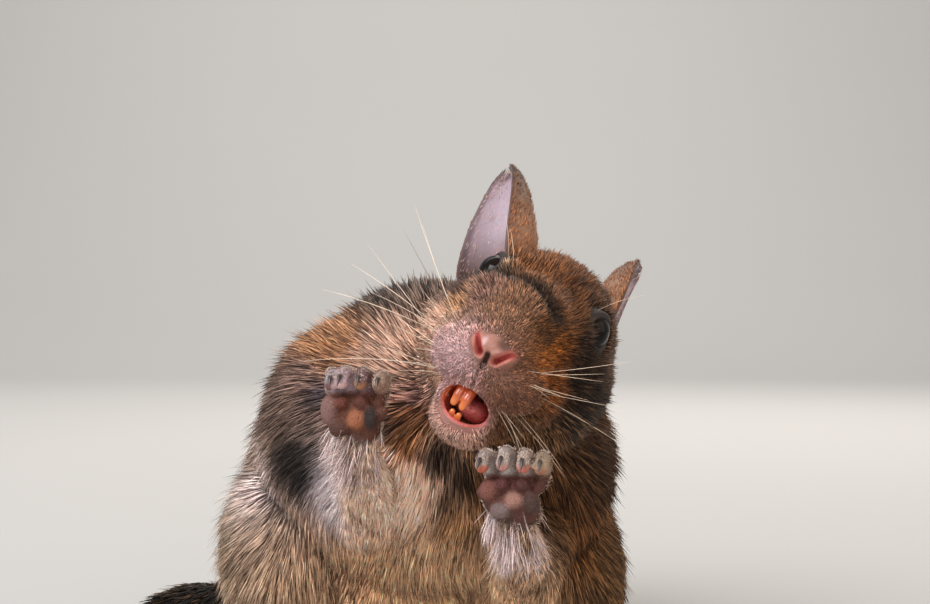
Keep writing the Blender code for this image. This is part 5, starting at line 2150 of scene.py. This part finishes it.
@dataclass
class Ear:
    """One ear: a thin cup, broad at its root and rounded at its tip, with hair behind and at its rim."""

    side: int
    cut: EarCut
    material: Material
    coat: Material
    root: Triple = (11.6, 36.5, 11.0)
    wall: float = 0.8
    rows: int = 44
    columns: int = 36
    hairs: int = 2600

    def sheet(self, across: Array, up: Array) -> Array:
        """The middle of the ear's wall, in the layout.

        Args:
            across: Places across the ear, from -1 to 1.
            up: Places up the ear, from 0 to 1.

        Returns:
            Points, one a row.
        """
        up = np.clip(up, 0.0, 1.0)
        length = (Vector(self.cut.tip) - on_side(self.root, self.side)).length
        low, high = self.cut.flare
        outline = np.maximum(0.02, 1 - up ** 2.1) ** self.cut.point
        half = 0.5 * self.cut.width * (low + (high - low) * up) * outline * (1 - 0.16 * bell(up, 0.14))
        roll = np.radians(self.cut.roll * (1 - 0.22 * up))
        radius = half / roll
        rise = length * up - 2.2 * across ** 2 * (1 - up) - 3.6 * (1 - up) ** 3
        depth = radius * (np.cos(across * roll) - self.cut.forward) + 0.6 * up * up
        fold = 0.5 * bell(across - 0.34 * self.side, 0.14) * np.sin(math.pi * np.clip(up * 1.2, 0, 1))
        local = np.stack([radius * np.sin(across * roll), depth - fold, rise], 1)
        stand = np.array(self.stand())
        return local @ stand[:3, :3].T + stand[:3, 3]

    def stand(self) -> Matrix:
        """The ear's own frame, in the layout."""
        root = on_side(self.root, self.side)
        up = (Vector(self.cut.tip) - root).normalized()
        opens = Vector(self.cut.opens)
        back = -(opens - up * opens.dot(up)).normalized()
        turn = Matrix((back.cross(up), back, up)).transposed().to_4x4()
        return HEAD @ Matrix.Translation(root) @ turn

    def normals(self, across: Array, up: Array, step: float = 0.01) -> Array:
        """The wall's normals, which point to the back of the ear."""
        right = self.sheet(across + step, up) - self.sheet(across - step, up)
        low, high = np.minimum(up, 0.995 - step) - step, np.minimum(up + step, 0.995)
        outward = unit(np.cross(right, self.sheet(across, high) - self.sheet(across, low)))
        return outward * np.sign((outward @ np.array(self.stand())[:3, 1]).mean())

    def build(self) -> Thing:
        """Makes the cup."""
        bm = bmesh.new()
        values = []
        for face in (-1, 1):
            sheet = bmesh.new()
            bmesh.ops.create_grid(sheet, x_segments=self.columns, y_segments=self.rows, size=1.0)
            flat = np.array([v.co for v in sheet.verts])
            across, up = flat[:, 0], (flat[:, 1] + 1) / 2
            rim = np.maximum(np.abs(across), up ** 2)
            wall = self.wall * (1 - 0.55 * ease(0.7, 1.0, rim)) / 2
            points = self.sheet(across, up) + self.normals(across, up) * (wall * face)[:, None]
            for vert, point in zip(sheet.verts, points):
                vert.co = point
            if face < 0:
                bmesh.ops.reverse_faces(sheet, faces=sheet.faces)
            pour(sheet, bm)
            values.append(np.stack([np.full(len(flat), float(face < 0)), rim, up]))
        bmesh.ops.bridge_loops(bm, edges=[e for e in bm.edges if e.is_boundary])
        inside, rim, up = np.concatenate(values, axis=1)
        name = "ear_cup_left" if self.side > 0 else "ear_cup_right"
        made = finish_piece(bm, name, self.material, Inside=inside, Rim=rim, Up=up)
        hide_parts("ear_left" if self.side > 0 else "ear_right")
        return made

    @staticmethod
    def on_unwrap(skin: Skin, points: Array, every: int = 8) -> Array:
        """The nearest places on the skin's unwrap, among one in every few of its triangles."""
        middle = skin.surface.points[skin.surface.faces[::every]].mean(axis=1)
        nearest = KDTree(len(middle))
        for index, place in enumerate(middle):
            nearest.insert(place, index * every)
        nearest.balance()
        return np.array([skin.uv[nearest.find(p)[1]].mean(axis=0) for p in points])

    def hair(self, skin: Skin) -> Thing:
        """The short hair behind the ear, on its rim and sparsely within."""
        rng, count = np.random.default_rng(RNG_SEED + 5 + self.side), self.hairs
        across, up = rng.uniform(-1, 1, count), rng.uniform(0.03, 0.99, count)
        within, rim = rng.random(count) < 0.16, rng.random(count) < 0.14
        across = np.where(rim, np.sign(across) * rng.uniform(0.95, 1.0, count), across)
        points, back = self.sheet(across, up), self.normals(across, up)
        out = np.where(within[:, None], -back, back)
        ahead = unit(self.sheet(across * 0.97, np.minimum(up + 0.04, 1.0)) - points)
        lift = np.where(rim, 0.5, 0.3) * rng.uniform(0.6, 1.4, count)
        start = ahead * np.cos(lift)[:, None] + out * np.sin(lift)[:, None]
        end = ahead + out * 0.12 + rng.normal(0, 0.12, (count, 3))
        length = np.where(within, 1.3, 2.1 - 0.7 * up) * rng.uniform(0.7, 1.3, count)
        low, high = np.array(display(166, 116, 80)), np.array(display(74, 58, 50))
        tone = low * (1 - up[:, None]) + high * up[:, None]
        tone = np.where(within[:, None], np.array(display(206, 192, 188)), tone)
        tone = tone * np.exp(rng.normal(0, 0.25, count))[:, None]
        uv = self.on_unwrap(skin, points)
        width = np.where(within, 0.09, 0.17) * rng.uniform(0.8, 1.2, count)
        roots, start, end = points + out * 0.3, unit(start), unit(end)
        hair = Strands(roots, out, start, end, length, width, tone, tone * 0.8, uv, 0.6, 0.1)
        return hair.weave("ear_hair_left" if self.side > 0 else "ear_hair_right", Spindle(), self.coat)


@dataclass
class Mouthparts:
    """The two pairs of incisors and the tongue."""

    enamel: Material
    flesh: Material
    bow: float = 2.2
    bow_turn: float = 1.3

    def line(self, t: float) -> float:
        """How far forward an incisor bows at a place from 0 to 1 along it."""
        return self.bow * math.sin(self.bow_turn * t)

    def teeth(self, name: str, node: str, root: Triple, rise: float, half: float, girth: float) -> Thing:
        """Makes one pair of long curved incisors with chisel edges.

        Args:
            name: The piece's name.
            node: The solid that it replaces.
            root: Where the pair grows, in the head's frame.
            rise: Its length, negative where it points down.
            half: Half the distance between the two.
            girth: The radius of each.

        Returns:
            The pair.
        """
        clay = Clay(HEAD)
        for side in SIDES:
            stops = (Vector((half * side, -self.line(t), rise * t)) for t in (0, 0.25, 0.5, 0.75, 1))
            points = [Vector(root) + stop for stop in stops]
            clay.limb(points, [girth * share for share in (1.0, 1.0, 0.98, 0.94, 0.7)], step=0.18)
        made = clay.melt(name, 0.13, 3)
        bm = bmesh.new()
        bm.from_mesh(made.data)
        drop(made)
        back = HEAD.inverted()
        worn = []
        for vert in bm.verts:
            place = back @ vert.co
            t = (place.z - root[2]) / rise
            line = root[1] - self.line(max(0.0, min(1.0, t)))
            place.y = line + (place.y - line) * (0.86 if t < 0.6 else 0.86 - 0.6 * (t - 0.6))
            vert.co = HEAD @ place
            worn.append(t)
        piece = finish_piece(bm, name, self.enamel, Worn=np.array(worn))
        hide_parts(node)
        return piece

    def tongue(self) -> Thing:
        """Makes the tongue, low in the open mouth, with a groove down its middle."""
        bm = bmesh.new()
        bmesh.ops.create_uvsphere(bm, u_segments=40, v_segments=28, radius=1.0)
        for vert in bm.verts:
            if vert.co.z > 0:
                vert.co.z -= 0.22 * math.exp(-((vert.co.x / 0.22) ** 2))
        place = Matrix.Translation((0.4, 15.6, -12.4)) @ turned(x=-8) @ Matrix.Diagonal((3.5, 6.2, 2.3, 1.0))
        bmesh.ops.transform(bm, matrix=HEAD @ place, verts=bm.verts)
        piece = finish_piece(bm, "tongue_flesh", self.flesh)
        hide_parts("tongue")
        return piece

    def build(self) -> list[Thing]:
        """Makes the teeth and the tongue."""
        return [
            self.teeth("upper_incisors", "incisors_upper", (-1.0, 7.6, -5.8), -5.6, 0.84, 0.92),
            self.teeth("lower_incisors", "incisors_lower", (-0.8, 9.0, -17.4), 4.3, 0.64, 0.74),
            self.tongue(),
        ]


@dataclass
class Claws:
    """The curved claws of one limb, each from a root to a tip with a radius."""

    claws: Sequence[tuple[Vector, Vector, float]]
    material: Material
    sunk: float = 0.16

    def build(self, name: str) -> Thing:
        """Makes the claws as one piece."""
        bm = bmesh.new()
        along: list[float] = []
        for root, tip, radius in self.claws:
            claw = bmesh.new()
            bmesh.ops.create_uvsphere(claw, u_segments=12, v_segments=14, radius=1.0)
            span = tip - root
            turn = span.to_track_quat("Z", "Y").to_matrix().to_4x4()
            bend = turn.inverted().to_3x3() @ Vector((0, 0, 1))
            for vert in claw.verts:
                t = (vert.co.z + 1) / 2
                size = radius * (1.0 - 0.62 * t)
                arch = bend * (0.9 * radius * math.sin(math.pi * t) - 0.5 * radius * t)
                rise = span.length * (t * (1 + self.sunk) - self.sunk)
                vert.co = Vector((vert.co.x * size * 0.85, vert.co.y * size, rise)) + arch
                along.append(t)
            bmesh.ops.transform(claw, matrix=Matrix.Translation(root) @ turn, verts=claw.verts)
            pour(claw, bm)
        return finish_piece(bm, name, self.material, Along=np.array(along))


# Studio and assembly


@dataclass(frozen=True)
class Lamp:
    """One soft square light, in metres and watts, and the place that it faces."""

    name: str
    place: Triple
    size: float
    power: float
    colour: Triple
    aim: Triple = (0.02, -0.04, 0.06)

    def build(self) -> None:
        """Adds the light."""
        data = bpy.data.lights.new(self.name, "AREA")
        data.shape = "SQUARE"
        data.size = self.size
        data.energy = self.power
        data.color = self.colour
        made = link(self.name, data)
        made.location = self.place
        made.rotation_euler = (Vector(self.aim) - Vector(self.place)).to_track_quat("-Z", "Y").to_euler()


LAMPS = (
    Lamp("key_light", (-0.45, -0.5, 0.6), 0.45, 7.4, (0.96, 0.97, 1.0)),
    Lamp("fill_light", (0.65, -0.3, 0.25), 0.6, 1.3, (1.0, 0.82, 0.62)),
    Lamp("front_light", (0.12, -1.0, 0.16), 0.5, 2.7, (1.0, 0.93, 0.85)),
    Lamp("back_light", (0.3, 0.6, 0.6), 0.6, 2.6, (1.0, 0.93, 0.85)),
    Lamp("backdrop_light", (0.0, 0.7, 1.2), 1.4, 16.0, (1.0, 0.98, 0.96), (0.0, 1.7, 0.3)),
)


@dataclass
class Studio:
    """A plain pale floor that sweeps up behind, soft lights, and the camera of the photograph."""

    camera_place: Triple = (21.3, -292.3, 77.7)
    focal_pixels: float = 1364.0
    frame_pixels: float = 930.0
    sensor: float = 36.0
    world_light: float = 0.46
    sky: Triple = (0.98, 0.96, 0.94)
    bend: float = 1.1
    sweep: float = 0.7

    def floor(self) -> None:
        """Makes the floor and its sweep, in metres."""
        bm = bmesh.new()
        bmesh.ops.create_grid(bm, x_segments=2, y_segments=60, size=2.2)
        for vert in bm.verts:
            past = vert.co.y - self.bend
            if past > 0:
                angle = min(past / self.sweep, math.pi / 2)
                rise = max(0.0, past - self.sweep * math.pi / 2)
                vert.co.y = self.bend + self.sweep * math.sin(angle)
                vert.co.z = self.sweep * (1 - math.cos(angle)) + rise
        made = show(bm, "studio_floor")
        made.data.shade_smooth()
        made.data.materials.append(StudioFinish().make())

    def camera(self) -> None:
        """Sets the camera level, at the place of the photograph's."""
        data = bpy.data.cameras.new("camera")
        data.sensor_fit = "HORIZONTAL"
        data.sensor_width = self.sensor
        data.lens = self.focal_pixels / self.frame_pixels * self.sensor
        data.clip_start = 0.01
        data.clip_end = 20.0
        made = link("camera", data)
        made.location = Vector(self.camera_place) * MM
        made.rotation_euler = (math.radians(90), 0.0, 0.0)
        bpy.context.scene.camera = made

    def build(self) -> None:
        """Makes the floor, the lights and the camera."""
        self.floor()
        for lamp in LAMPS:
            lamp.build()
        world = bpy.data.worlds.new("studio")
        bpy.context.scene.world = world
        world.use_nodes = True
        sky = world.node_tree.nodes["Background"]
        sky.inputs["Color"].default_value = (*self.sky, 1.0)
        sky.inputs["Strength"].default_value = self.world_light
        self.camera()
        bpy.context.scene.view_settings.view_transform = "Standard"


FLESH = (
    "head", "lower_jaw", "neck", "chest", "belly_and_rump", "thigh_left", "thigh_right", "upper_arm_left",
    "upper_arm_right", "forearm_left", "forearm_right", "hand_left", "hand_right", "foot_left", "foot_right",
    "tail_1", "tail_2", "tail_3",
)


@dataclass
class Degu:
    """The whole animal."""

    body: Body = field(default_factory=Body)

    def place(self, slot: str, *pieces: Thing) -> None:
        """Sets pieces on the body."""
        for piece in pieces:
            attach(piece, "root")
            LOG.info("%s: %d faces", piece.name, len(piece.data.polygons))

    def build(self) -> None:
        """Builds every piece and dresses it."""
        skin = Skin(self.body)
        hide = skin.build()
        hide.data.materials.append(SkinFinish().make())
        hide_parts(*FLESH)
        self.place("skin", hide)
        fur = CoatFinish().make()
        self.place("fur", *Coat(skin, fur, 1.0).build())
        loose = LooseHair(skin, CoatFinish("degu_long_hair", 0.42, 0.75).make())
        self.place("belly", loose.whiskers(), loose.wrists())
        brush = loose.brush()
        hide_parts("tail_tuft")
        self.place("tail", brush)
        wet = EyeFinish().make()
        self.place("eye", Eye(self.body.head, 1, wet).build(), Eye(self.body.head, -1, wet).build())
        cup = EarFinish().make()
        for side, cut in EARS.items():
            ear = Ear(side, cut, cup, fur)
            self.place("ear", ear.build(), ear.hair(skin))
        mouth = Mouthparts(ToothFinish().make(), TongueFinish().make()).build()
        self.place("tooth", *mouth[:2])
        self.place("tongue", mouth[2])
        horn = ClawFinish().make()
        names = ("claws_hand_right", "claws_hand_left", "claws_foot_right", "claws_foot_left")
        for limb, name in zip((*self.body.paws, *self.body.feet), names):
            self.place("skin", Claws(limb.claws(), horn).build(name))


def main() -> None:
    """Builds the animal and the studio."""
    logging.basicConfig(level=logging.INFO, format="%(asctime)s %(message)s")
    Degu().build()
    Studio().build()


if __name__ == "__main__":
    main()
